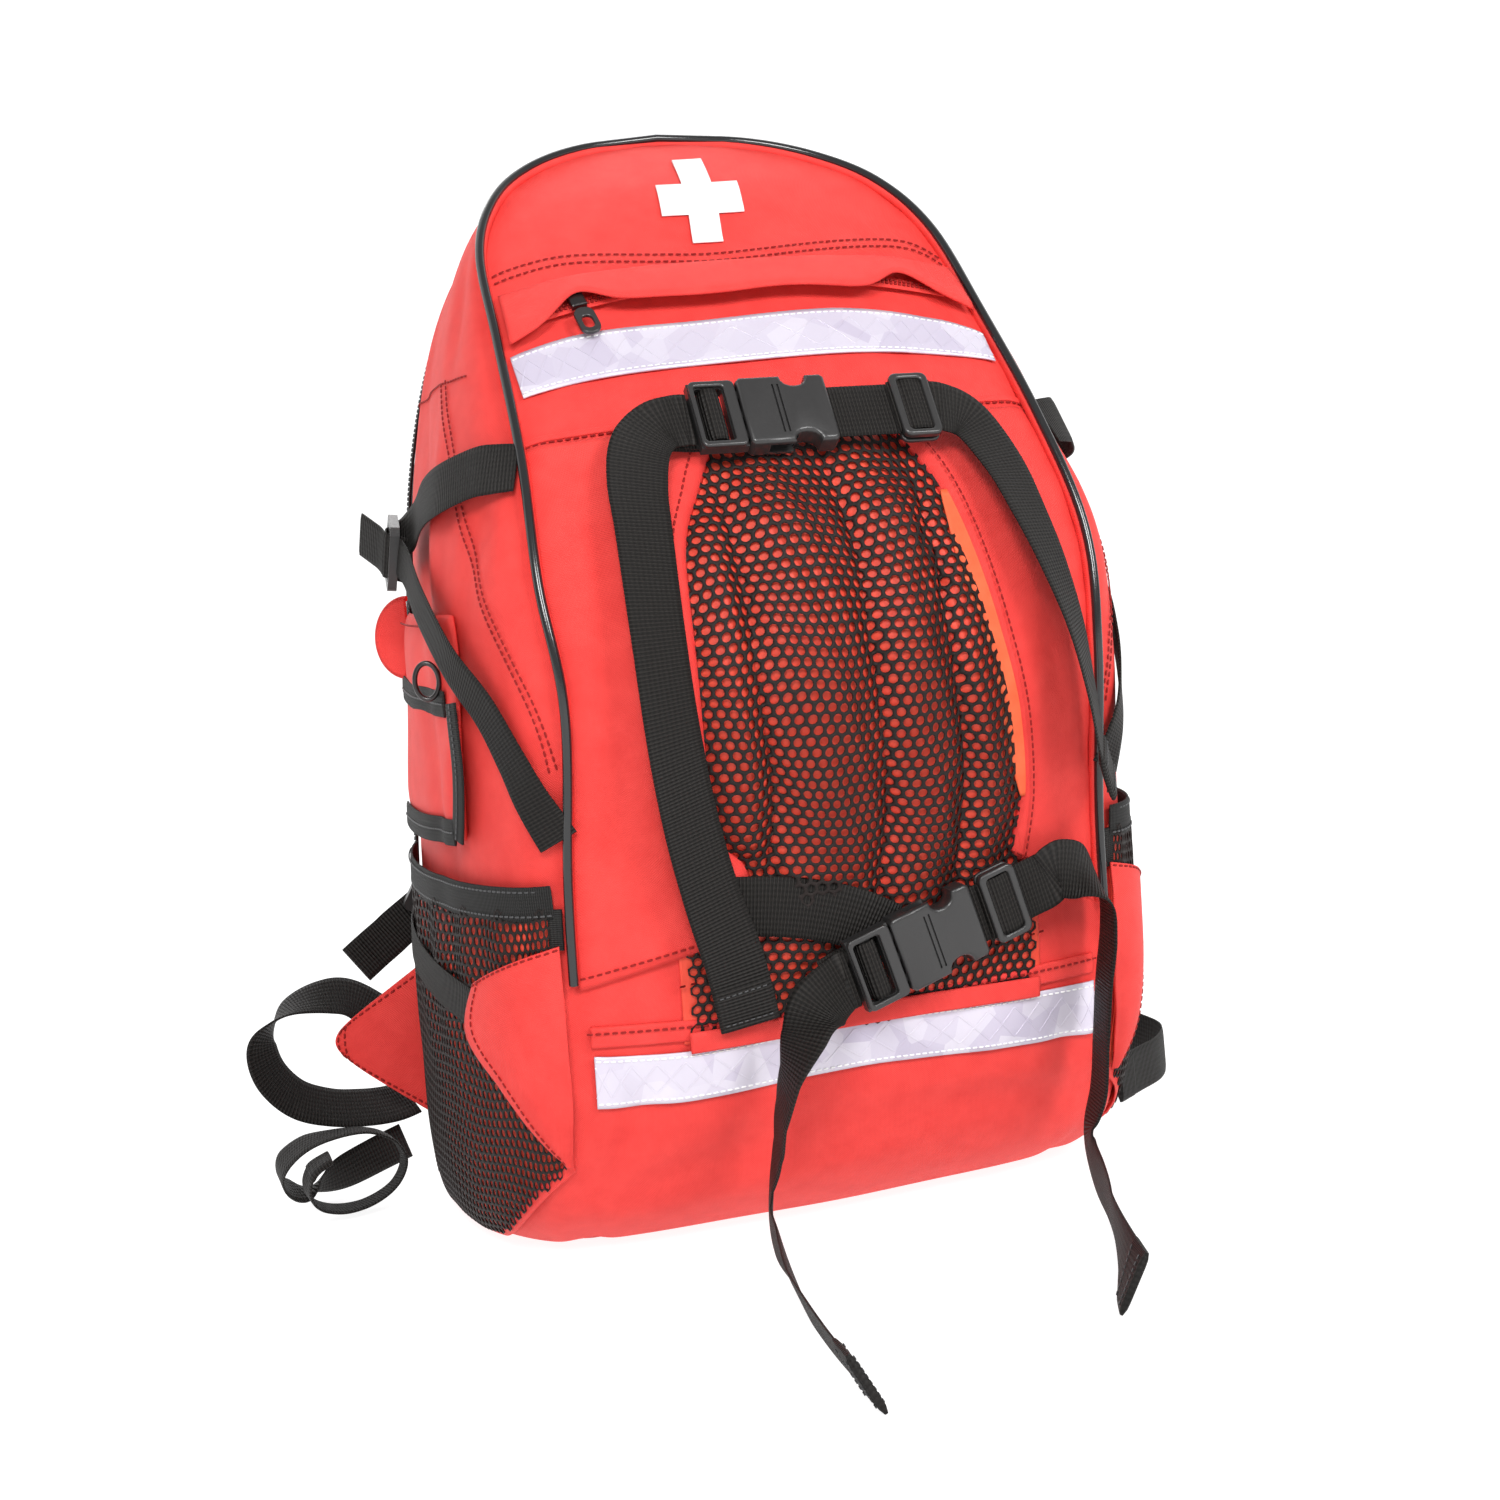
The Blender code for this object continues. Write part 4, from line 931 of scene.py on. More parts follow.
def window():
    """The gathered lining, the black net over it, and the hem at its foot."""
    x, z = np.meshgrid(np.linspace(-76, 86, 150), np.linspace(93, 336, 200))
    cloth("window_lining", front(x, z, 0.5 + 0.9 * gather(x, z) * flat_at_hem(z))[0], LINING, 0.5,
          stands_for=["front_pocket_lining"])

    def surface(u, v):
        warp_u = u + 1.2 * np.sin(v / 23) + 0.8 * np.sin(v / 9 + u / 13)
        warp_v = v + 1.4 * np.sin(u / 19) + 0.7 * np.sin(u / 7 + v / 11)
        x, z = warp_u + WINDOW_X, warp_v + WINDOW_Z
        return front(x, z, 1.6 + (0.7 + gather(x, z)) * flat_at_hem(z))[0]

    def inside(u, v):
        x, z = u + WINDOW_X, v + WINDOW_Z
        if z > 333:
            return False
        low = -72 if z < 132 else float(edge_x(LEFT_EDGE, z)) - 9
        high = 82 if z < 148 else float(edge_x(RIGHT_EDGE, z)) + 9
        return low < x < high

    net("window_net", surface, inside, (160, 240), 4.8, stands_for=["front_pocket_mesh"])
    line, outward = on_front([(-74, 94), (-20, 95), (30, 95), (84, 93)], 60, 3.4)
    ribbon("window_hem", line, outward, 9.0, 1.4, RED)


def wings():
    """The two red wings over the window's edges, and the narrow facing under the right one."""
    seams = []
    top_z = 340
    for name, side, edge, foot_z in (("left", -1, LEFT_EDGE, 121), ("right", 1, RIGHT_EDGE, 124)):
        edge = samples(edge, 90)
        heights = np.linspace(0, 1, 90)
        outer_z = foot_z + (top_z - foot_z) * heights
        outer_x = side * 0.984 * through(STATIONS, station(outer_z, 1.0))[:, 2]
        share = np.linspace(0, 1, 44)[None, :]
        rounding = 1 - np.clip((share - 0.93) / 0.07, 0, 1) ** 2
        x = outer_x[:, None] + (edge[:, 0] - outer_x)[:, None] * share
        z = outer_z[:, None] + (edge[:, 1] - outer_z)[:, None] * share
        billow = 2.4 * np.sin(np.pi * share) * np.sin(np.pi * heights[:, None]) ** 0.5
        hem = 0.5 * np.exp(-((share - 0.9) / 0.05) ** 2)
        lift = 0.3 + 3.8 * share ** 0.5 * rounding + billow + hem
        lift = lift * np.clip(heights[:, None] / 0.02, 0.4, 1)
        points = front(x, z, lift)[0]
        cloth("front_wing_cloth_" + name, points, RED, 1.3, stands_for=["front_wing_" + name])
        for line in (np.s_[:, 38], np.s_[2]):
            normals = front(x[line], z[line], 0)[1]
            seams.append((points[line] + normals * 1.5, normals))
    stitches("wing_stitching", seams, RED_THREAD)
    facing_low, facing_top = 178, 306
    z = np.linspace(facing_low, facing_top, 70)
    inner = edge_x(RIGHT_EDGE, z)
    wide = 10.0 * np.sin(np.pi * (z - facing_low) / (facing_top - facing_low)) ** 0.8
    share = np.linspace(0, 1, 8)[None]
    x = (inner - wide)[:, None] + (wide + 4)[:, None] * share
    grid = front(x, np.broadcast_to(z[:, None], x.shape), 3.4 + 0 * x)[0]
    cloth("right_wing_facing", grid, FACING, 0.7)


# ---------------------------------------------------------------- buckles and their webbing

BUCKLES = {
    "upper": dict(x=-7.0, z=337.0, lift=13.0, slope=-2.0),
    "lower": dict(x=30.0, z=126.0, lift=14.0, slope=17.0),
}
BUCKLE_WIDE = 33.0
BUCKLE_THICK = 10.0
FEMALE_LONG = 38.0
MALE_LONG = 20.0
PRONG_LONG = 17.0
SLIDER_AT = {"upper": 56.0, "lower": 33.0}


def buckle_frame(name):
    """Local frame at the middle of a buckle's female piece, x along its strap."""
    spot = BUCKLES[name]
    point, normal = bare_front(spot["x"], spot["z"], spot["lift"])
    return frame_at(point, normal, spot["slope"])


def solid_plate(name, outline, thick, matrix, bevel):
    """As plate(), turned into a mesh that can be cut."""
    drawn = plate(name + "_drawn", outline, [], thick, matrix, PLASTIC, body=None, bevel=bevel)
    bpy.context.view_layer.update()
    mesh = bpy.data.meshes.new_from_object(drawn.evaluated_get(bpy.context.evaluated_depsgraph_get()))
    bpy.data.objects.remove(drawn, do_unlink=True)
    work = bmesh.new()
    work.from_mesh(mesh)
    bmesh.ops.remove_doubles(work, verts=work.verts, dist=0.00001)
    bmesh.ops.recalc_face_normals(work, faces=work.faces)
    work.to_mesh(mesh)
    work.free()
    thing = new_object(name, mesh)
    thing.matrix_world = metres(matrix)
    return thing


def cut_boxes(thing, boxes, matrix):
    """Take boxes (size, centre) out of a mesh, in a local frame."""
    work = bmesh.new()
    for size, centre in boxes:
        made = bmesh.ops.create_cube(work, size=1.0)
        for vertex in made["verts"]:
            vertex.co = Vector([(vertex.co[k] * size[k] + centre[k]) * MM for k in range(3)])
    mesh = bpy.data.meshes.new("cutter")
    work.to_mesh(mesh)
    work.free()
    tool = new_object("cutter", mesh)
    tool.matrix_world = metres(matrix)
    change = thing.modifiers.new("opening", "BOOLEAN")
    change.object = tool
    change.use_self = True
    bpy.context.view_layer.update()
    thing.data = bpy.data.meshes.new_from_object(thing.evaluated_get(bpy.context.evaluated_depsgraph_get()))
    thing.modifiers.clear()
    bpy.data.objects.remove(tool, do_unlink=True)
    thing.data.polygons.foreach_set("use_smooth", [True] * len(thing.data.polygons))
    thing.data.set_sharp_from_angle(angle=math.radians(35))


def scooped(half, waist, edge):
    """Half outline of the female buckle, whose sides scoop in over the prong windows."""
    points = [(edge, half - 1.5), (edge + 1.5, half), (0, half)]
    for k in range(9):
        angle = math.pi * k / 8
        points.append((5.5 - 5.5 * math.cos(angle), half - (half - waist) * math.sin(angle) ** 0.8))
    return points + [(13.5, half), (17.5, half), (-edge, half - 1.5)]


def female(name):
    """Socket of a buckle: open to the prongs, with side windows, a web slot and two grip lines."""
    matrix = buckle_frame(name)
    edge = -FEMALE_LONG / 2
    half = BUCKLE_WIDE / 2
    outline = scooped(half, half - 5.0, edge)
    outline += [(x, -y) for x, y in reversed(outline)]
    thing = solid_plate(name + "_female_body", outline, BUCKLE_THICK, matrix, 1.6)
    mouth = PRONG_LONG + 4.0
    socket = ((2 * mouth, BUCKLE_WIDE - 6, 5.2), (edge, 0, 0))
    web_slot = ((5, WEB_WIDE + 1.5, 20), (FEMALE_LONG / 2 - 6.5, 0, -7))
    windows = [((11, 8, 5.2), (edge + 14, y, 0)) for y in (half, -half)]
    grip_lines = [((0.8, BUCKLE_WIDE - 9, 2), (x, 0, BUCKLE_THICK / 2)) for x in (-2.0, -4.2)]
    boxes = [socket, web_slot] + windows + grip_lines
    cut_boxes(thing, boxes, matrix)
    thing.data.materials.clear()
    thing.data.materials.append(PLASTIC)
    settle(thing, ROOT, [name + "_buckle_female"])


def male(name):
    """Prongs from the CAD, the frame behind them, and the webbing folded through it."""
    matrix = buckle_frame(name)
    recoat(name + "_buckle_male", PLASTIC, 0.7)
    rear = -FEMALE_LONG / 2 - 0.5 - MALE_LONG
    rim = rounded(MALE_LONG - 0.5, BUCKLE_WIDE - 0.6, 2.5)
    frame_outline = [(x + rear + MALE_LONG / 2, y) for x, y in rim]
    opening = [(x + rear + 8.5, y) for x, y in rounded(12.4, WEB_WIDE + 2.0, 1.2)]
    riser = matrix @ Matrix.Translation((0, 0, 2.9))
    plate(name + "_male_rim", frame_outline, [opening], 2.4, riser, PLASTIC, name + "_male", [], 0.8)
    route = [(-6, -1.8), (-2, -3.0), (1.5, -3.1), (4.0, -2.2), (4.7, 0.3), (6, 2.9), (8.5, 3.4),
             (11, 2.9), (12.3, 0.5), (12.0, -2.4), (9, -3.3), (4, -4.6), (-4, -4.4), (-12, -3.0)]
    local_ribbon(name + "_male_webbing", matrix, [(x + rear, z) for x, z in route], 60, WEB_WIDE,
                 name + "_male")


def local_ribbon(name, matrix, route, count, wide, body):
    """Webbing whose middle line runs through (x, z) points of a local frame."""
    spots = samples(route, count)
    tangent = unit(np.gradient(spots, axis=0))
    world = np.array(matrix.to_3x3())
    origin = np.array(matrix.translation)
    points = np.stack([spots[:, 0], np.zeros(count), spots[:, 1]], -1) @ world.T + origin
    normals = np.stack([-tangent[:, 1], np.zeros(count), tangent[:, 0]], -1) @ world.T
    return ribbon(name, points, normals, wide, WEB_THICK, body=body)


def slider(name):
    """Web slider: two rims, a bar across the back one, and the webbing that humps over it."""
    matrix = buckle_frame(name) @ Matrix.Translation((SLIDER_AT[name], 0, 0))
    rim = rounded(17, 31.5, 3.2)
    opening = rounded(10.6, 25.8, 1.6)
    body_name = name + "_slider"
    bar = rounded(3.4, 29, 1.2)
    layers = (("_slider_rim", rim, [opening], 3.4, 2.0, [name + "_web_slider"], 1.0),
              ("_slider_back", rim, [opening], 2.0, -2.0, [], 0.6),
              ("_slider_bar", bar, [], 1.6, -1.8, [], 0.5))
    for part, outline, holes, thick, height, node, bevel in layers:
        plate(name + part, outline, holes, thick, matrix @ Matrix.Translation((0, 0, height)), PLASTIC,
              body_name, node, bevel)
    route = [(-9.5, 1.5), (-6.5, 1.7), (-4, 2.6), (0, 3.2), (4, 2.6), (6.5, 1.7), (9.5, 1.5)]
    local_ribbon(name + "_slider_webbing", matrix, route, 40, WEB_WIDE, body_name)


# Tails over the front: x, z, lift off the skin, and degrees that the webbing is turned about z.
UPPER_TAIL_LEFT = [
    (-61, 336, 14, -6), (-70, 328, 15, 0), (-75, 314, 15, 10), (-77, 297, 15, 18),
    (-79, 262, 15, 22), (-77, 225, 15, 22), (-71, 190, 15, 20), (-64, 158, 15, 14),
    (-56, 128, 13, 0), (-50, 100, 8.6, -6),
]
UPPER_TAIL_RIGHT = [
    (72, 328, 14, 8), (80, 310, 15, 16), (84, 291, 17, 24), (89, 269, 18.5, 32),
    (95, 246, 19, 42), (101, 222, 19, 52), (107, 198, 19, 58), (113, 182, 19, 60),
]
LOWER_TAIL_LEFT = [
    (-24, 107, 20, -30), (-34, 98, 28, -62), (-41, 84, 30, -92), (-44, 69, 27, -104),
    (-45, 55, 25, -106)]
LOWER_TAIL_RIGHT = [
    (88, 146, 15, 20), (100, 142, 17, 50), (108, 131, 19, 66), (108, 115, 20, 70),
    (105, 95, 20, 70), (102, 72, 22, 70), (99, 54, 26, 70)]
# Tails clear of the front: x, y, z and the normal.
FLOOR_LEFT = [
    (-50, -144, 30, -0.96, 0.28, 0), (-54, -153, 17, -0.97, 0.22, -0.05),
    (-58, -176, 13, -0.96, 0.18, -0.2), (-65, -204, 12.6, -0.93, 0.22, -0.3),
    (-72, -232, 12.4, -0.92, 0.20, -0.35), (-77, -262, 12.2, -0.92, 0.14, -0.38),
    (-81, -290, 12.1, -0.90, 0.10, -0.42), (-84, -314, 12, -0.89, 0.08, -0.45),
    (-86, -332, 11.9, -0.88, 0.06, -0.46),
]
FLOOR_RIGHT = [
    (96, -142, 28, 0.96, -0.28, 0), (93, -152, 17, 0.96, -0.28, 0),
    (85, -176, 13, 0.95, -0.32, 0.02), (75, -200, 13, 0.93, -0.36, 0.02),
    (65, -222, 13, 0.93, -0.36, 0.02), (55, -245, 12.6, 0.92, -0.38, -0.1),
    (45, -268, 12.4, 0.88, -0.36, -0.3), (36, -292, 12, 0.82, -0.33, -0.46),
]
TAB_LONG = 19.0
TAIL_STEPS = 260


def straight_rows(name, start, end, count):
    """Rows for webbing that runs straight out of a buckle."""
    matrix = buckle_frame(name)
    normal = matrix.to_3x3() @ Vector((0, 0, 1))
    return [(*(matrix @ Vector((start + (end - start) * i / (count - 1), 0, 0))), *normal)
            for i in range(count)]


def over_front(x, z, lift, lean=0.0):
    """One row for webbing over the front."""
    point, normal = bare_front(x, z, lift)
    turned = Matrix.Rotation(math.radians(lean), 3, "Z") @ Vector(normal)
    return (*point, *turned)


def declare_tail(rows, count):
    """The middle line of a hanging end of webbing, in metres; it is worked out and not used."""
    path = samples(rows, count)[:, :3] * MM


def tails():
    """The four free ends of the buckles' webbing, and the sewn piece behind the lower buckle."""
    start = -FEMALE_LONG / 2 - 0.5 - MALE_LONG - 1.2
    after = FEMALE_LONG / 2 + 0.4
    routes = (("upper_tail_left", "upper_male", "hanging", (start, start - 5, 2), UPPER_TAIL_LEFT, []),
              ("upper_tail_right", ROOT, "hanging", (after, 68, 5), UPPER_TAIL_RIGHT, []),
              ("lower_tail_left", None, "loose", (start, start - 5, 3), LOWER_TAIL_LEFT, FLOOR_LEFT),
              ("lower_tail_right", ROOT, "loose", (after, 55, 5), LOWER_TAIL_RIGHT, FLOOR_RIGHT))
    for name, rides, lay, straight, over, floor in routes:
        rows = straight_rows(name.split("_")[0], *straight) + [over_front(*row) for row in over] + floor
        strap = free_ribbon(name + "_webbing", rows, TAIL_STEPS, WEB_WIDE, rides, [name], TAB_LONG)
        declare_tail(rows, 130)
        if rides is None:
            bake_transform(strap)
        tab_stitching(name + "_tab_stitching", rows, rides or ROOT)
    anchor = [(-54, 149, 6.4), (-36, 147, 7.6), (-18, 143, 8.6), (-2, 137, 9.0), (12, 129, 8.0)]
    rows = [over_front(*row) for row in anchor]
    free_ribbon("lower_anchor_strap", rows, 60, WEB_WIDE, stands_for=["lower_anchor_webbing"])


def tab_stitching(name, rows, body):
    """Two rows of stitches across the folded end of a strap."""
    spots = samples(rows, TAIL_STEPS)
    points, normals = spots[:, :3], unit(spots[:, 3:])
    length = run_lengths(points)
    paths = []
    for back in (TAB_LONG - 2.0, 4.0):
        k = int(np.searchsorted(length, length[-1] - back))
        tangent = unit(points[min(k + 1, TAIL_STEPS - 1)] - points[k - 1])
        across = unit(np.cross(normals[k], tangent))
        face = np.cross(tangent, across)
        reach = np.linspace(-0.42, 0.42, 12)[:, None] * WEB_WIDE
        for turn in (1, -1):
            line = points[k] + across * reach + face * turn * (WEB_THICK * 1.25)
            paths.append((line, np.repeat(face[None] * turn, 12, 0)))
    stitches(name, paths, BLACK_THREAD, body, 2.6, 0.35)


# ---------------------------------------------------------------- seams and stitching of the body

def body_seams():
    """Rows of stitches over the front and the sides, and the two hems that they hold."""
    lines = []
    for z in (422, 418.5):
        points = [(-103, z - 6), (-72, z), (-30, z - 2), (0, z - 3), (60, z), (88, z - 2), (103, z - 11)]
        lines.append(on_front(points, 160, 1.0))
    lines.append(on_front([(-112, 341), (-43, 345), (0, 345), (60, 344), (112, 342)], 160, 0.7))
    lines.append(on_front([(-116, 103), (-4, 98), (115, 100)], 120, 2.4))
    for x, z, run_x, run_z in ((-73, 332, 0, -7), (-85, 140, 0, -7), (-78, 118, 9, 1), (79, 116, 9, 1)):
        for shift in (0, 1.0):
            lines.append(on_front([(x + shift * (run_x == 0), z + shift * (run_z == 0)),
                                   (x + run_x + shift * (run_x == 0), z + run_z)], 6, 3.4))
    stitches("front_stitching", lines, RED_THREAD)
    hem, outward = on_front([(-114, 101), (-4, 96), (113, 98)], 120, 0.9)
    ribbon("lower_front_hem", hem, outward, 9.0, 1.6, RED)
    seam, outward = on_front([(-112, 343), (-43, 347), (0, 347), (60, 346), (112, 344)], 160, 0.3)
    ribbon("upper_front_seam", seam, outward, 3.0, 1.2, RED)
    curve = [(0.26, 375), (0.213, 348), (0.177, 323), (0.129, 298), (0.061, 262), (0.018, 232), (0.003, 212)]
    second = [(s * 1.12 + 0.006, z - 1) for s, z in curve]
    across = [(0.10, 374), (0.5, 372), (0.93, 366)]
    for name, side in SIDES:
        lines = [on_flank(side, route, count, 0.6)
                 for route, count in ((curve, 130), (second, 130), (across, 90))]
        stitches("side_stitching_" + name, lines, RED_THREAD)


# ---------------------------------------------------------------- the sides

LOCK_AT = (0.62, 303.0)
POCKET_FRONT = 0.008
POCKET_REAR = 0.90


def belly(s, z):
    """How far a loaded side pocket stands off the side."""
    share = np.clip((s - POCKET_FRONT) / (POCKET_REAR - POCKET_FRONT), 0, 1)
    across = np.maximum(np.sin(np.pi * share), 0) ** 0.6
    return 1.6 + 4.0 * across * np.clip((z - 6) / 40, 0, 1) ** 0.6


def side_rows(side, spots):
    """Rows for webbing over a side, through (s, z, lift)."""
    rows = []
    for s, z, lift in spots:
        point, normal = bare_flank(side, s, z, lift)
        rows.append((*point, *normal))
    return rows


def side_webbing():
    """Compression straps from the front seam to a ladder lock, the loop through it and its end."""
    for name, side in SIDES:
        upper = [(0.002, 332, 2.0), (0.03, 332, 2.8), (0.08, 331, 5.0), (0.20, 326, 8.0), (0.36, 322, 6.0),
                 (0.54, 314, 4.0), (0.60, 308, 9.5)]
        free_ribbon("compression_strap_upper_" + name, side_rows(side, upper), 70, 22.0,
                    stands_for=["compression_webbing_upper_" + name])
        over_pouch = 5.8 if side < 0 else 1.2
        lower = [(0.002, 184, 0), (0.03, 202, 0.1), (0.07, 218, 0.1), (0.13, 238, 0.4), (0.22, 258, 0.9),
                 (0.36, 281, 1), (0.50, 296, 1)]
        spots = [(s, z, 2.0 + over_pouch * share) for s, z, share in lower] + [(0.58, 301, 9.5)]
        free_ribbon("compression_strap_lower_" + name, side_rows(side, spots), 80, 17.0,
                    stands_for=["compression_webbing_lower_" + name])
        recoat("compression_lock_" + name, PLASTIC, 0.8)
        point, normal = bare_flank(side, *LOCK_AT, 11.5)
        matrix = frame_at(point, normal, 24.0 * side)
        loop = [(-9, -6), (-6, -2), (-3, 3.0), (0, 3.4), (3, 2.6), (5.6, 0), (6.6, -3.4), (3, -5.0)]
        end = [(-2, 3.6), (5, 5.2), (12, 8.5), (20, 12.5)]
        for part, route, count, wide in (("lock_webbing", loop, 50, 21.0), ("tail", end, 40, 20.0)):
            away = [(x * side, z) for x, z in route]
            local_ribbon("compression_%s_%s" % (part, name), matrix, away, count, wide, ROOT)


def side_pockets():
    """Net over a lining, bound at its edges, with a top band, a strap and a red corner patch."""
    for name, side in SIDES:
        def surface(u, v, side=side):
            warp = u + 1.3 * np.sin(v / 15) + 0.9 * np.sin(v / 6 + u / 17)
            s = flank_share(warp / 200)
            z = 6 + v + 0.9 * np.sin(u / 11 + v / 19)
            pleat = 0.9 * np.sin(u / 5.5 + 1.5 * np.sin(v / 30)) * np.clip((v - 60) / 60, 0.1, 1)
            return flank(side, s, z, belly(s, z) + 0.6 + pleat)[0]

        def inside(u, v):
            s, z = float(flank_share(u / 200)), 6 + v
            return pocket_floor(s) < z < 156 and 0.01 < s < 0.895

        net("side_pocket_net_" + name, surface, inside, (200, 150), 4.9,
            stands_for=["side_mesh_pocket_" + name])
        share, rise = np.meshgrid(np.linspace(0, 1, 70), np.linspace(0, 1, 60))
        s = flank_share(share)
        z = pocket_floor(s) + (157 - pocket_floor(s)) * rise
        folds = 0.8 * np.sin(share * 50 + z / 25) + 0.5 * np.sin(z / 13 + share * 20)
        folds = folds * np.sin(np.pi * share)
        lift = np.maximum(belly(s, z) - 1.6 + folds * 0.6, 0.7)
        cloth("side_pocket_lining_" + name, flank(side, s, z, lift)[0][:, ::side], LINING, 0.5)
        s = flank_share(np.linspace(-0.002, 1, 140))
        z = 159.0 + 4.5 * s
        line, outward = flank(side, s, z, belly(s, z) + 0.9)
        ribbon("pocket_band_webbing_" + name, line, outward, 14.0, 1.5, BINDING,
               stands_for=["pocket_band_" + name])
        rows = [(line + np.array((0, 0, shift)) + outward * 0.9, outward) for shift in (5.0, -5.0)]
        stitches("pocket_band_stitching_" + name, rows, BLACK_THREAD, pitch=2.8)
        for part, edge_s, foot in (("front", 0.006, 139), ("rear", 0.905, 18)):
            s, z = np.full(80, edge_s), np.linspace(foot, 156, 80)
            line, outward = flank(side, s, z, belly(s, z) + 0.6)
            ribbon("pocket_edge_%s_%s" % (part, name), line, outward, 6.0, 1.2, BINDING)
        s = flank_share(np.linspace(0, 1, 120))
        z = pocket_floor(s)
        line, outward = flank(side, s, z, belly(s, z) * 0.6 + 0.5)
        ribbon("pocket_edge_base_" + name, line, outward, 6.0, 1.2, RED)
        wing_edge(name, side)
        s = np.linspace(0.175, 0.90, 80)
        z = 114 + 26 * np.clip(s - 0.2, 0, 1) ** 0.8
        line, outward = flank(side, s, z, belly(s, z) + 2.0)
        ribbon("pocket_strap_" + name, line, outward, 17.0, 1.4, WEBBING)


def flank_share(u):
    """Evenly spread places across a side, closer together on its tight front corner."""
    return POCKET_FRONT + (POCKET_REAR - POCKET_FRONT) * np.clip(u, 0, 1) ** 1.7


def pocket_floor(s):
    """Height of the bottom edge of a side pocket, which climbs to the front seam."""
    return 8 + 40 * np.clip(1 - np.asarray(s) / 0.26, 0, 1) ** 1.4


def wing_edge(name, side):
    """The red corner patch over the front of a side pocket."""
    outer = samples([(0.004, 141), (0.003, 118), (0.003, 96), (0.003, 74), (0.008, 47)], 90)
    inner = samples([(0.180, 125), (0.225, 104), (0.127, 84), (0.06, 66), (0.012, 50)], 90)
    share = np.linspace(0, 1, 30)[None, :] ** 1.5
    s = outer[:, :1] + (inner[:, :1] - outer[:, :1]) * share
    z = outer[:, 1:] + (inner[:, 1:] - outer[:, 1:]) * share
    puff = 1.2 * np.sin(np.pi * share) + 0.4
    lift = belly(s, z) + 1.6 + puff
    points, normals = flank(side, s, z, lift)
    order = slice(None, None, side)
    cloth("pocket_wing_cloth_" + name, points[:, ::-1][:, order], RED, 1.2,
          stands_for=["pocket_wing_" + name])
    paths = [(points[line] + normals[line] * 1.4, normals[line]) for line in (np.s_[:, 26], np.s_[2])]
    stitches("pocket_wing_stitching_" + name, paths, RED_THREAD)


def side_pouch():
    """The small pouch on the left side: body, bindings, ring, and the half-round flap behind it."""
    u, v = np.meshgrid(np.linspace(0, 1, 60), np.linspace(0, 1, 60))
    s = 0.24 + 0.62 * (1 - u)
    z = 184 + 92 * v
    edge = np.minimum(1.0, 6 * np.minimum(np.minimum(u, 1 - u), np.minimum(v, 1 - v))) ** 0.5
    lift = 1.0 + 3.4 * edge + 0.5 * np.sin(u * 9) * np.sin(v * 7)
    cloth("side_pouch_cloth", flank(-1, s, z, lift)[0], RED, 1.2, stands_for=["side_pouch_left"])
    tape = 5.6
    frame_lines = {"top": [(0.30, 240), (0.50, 241), (0.80, 243)],
                   "front": [(0.235, 241), (0.225, 212), (0.235, 184)],
                   "base": [(0.25, 187), (0.50, 186), (0.80, 186)]}
    for part, route in frame_lines.items():
        line, outward = on_flank(-1, route, 60, tape)
        ribbon("pouch_binding_" + part, line, outward, 11.0, 1.4, BINDING)
        stitches("pouch_binding_stitching_" + part, [(line + outward * 0.9, outward)], BLACK_THREAD,
                 pitch=2.6)
    hem, outward = on_flank(-1, [(0.33, 271), (0.6, 272), (0.84, 272)], 60, 6.0)
    stitches("pouch_hem_stitching", [(hem, outward)], RED_THREAD)
    ring_centre, outward = flank(-1, 0.33, 250, 10.0)
    matrix = frame_at(ring_centre, outward, 0.0) @ Matrix.Rotation(math.radians(68), 4, "Y")
    turn = np.linspace(0, 2 * math.pi, 40, endpoint=False)
    ring = [matrix @ Vector((5.0 * math.cos(w), 7.5 * math.sin(w), 0)) for w in turn]
    pipe("pouch_d_ring", ring, 1.1, METAL, cyclic=True)
    leaf_wide, leaf_half = 15, 18
    leaf_points = []
    matrix = pouch_hinge()
    rim = np.radians(np.linspace(-90, 90, 40))
    shares = np.linspace(0, 1, 16)
    for share in shares:
        dome = 1.6 * (1 - share ** 2)
        for angle in rim:
            x, y = leaf_wide * math.cos(angle) * share, leaf_half * math.sin(angle) * max(share, 0.02)
            leaf_points.append(matrix @ Vector((x, y, dome - 1)))
    grid = np.array(leaf_points).reshape(len(shares), len(rim), 3)
    cloth("side_pouch_flap_cloth", grid, RED, 1.6, "pouch_flap", ["side_pouch_flap_left"])
    rim_line = [matrix @ Vector((leaf_wide * math.cos(w), leaf_half * math.sin(w), -0.4)) for w in rim]
    pipe("side_pouch_flap_binding", rim_line, 1.3, RED, "pouch_flap")


def pouch_hinge():
    """Local frame of the flap, whose hinge is its y axis."""
    point, normal = bare_flank(-1, 0.90, 265, 3.2)
    return frame_at(point, normal, 0.0) @ Matrix.Rotation(math.radians(-115), 4, "Y")


# ---------------------------------------------------------------- rear zip, panel and harness

REAR_LIFT = 1.9
PAD_Y = 76.9
ZIP_PULL_Z = 262.0


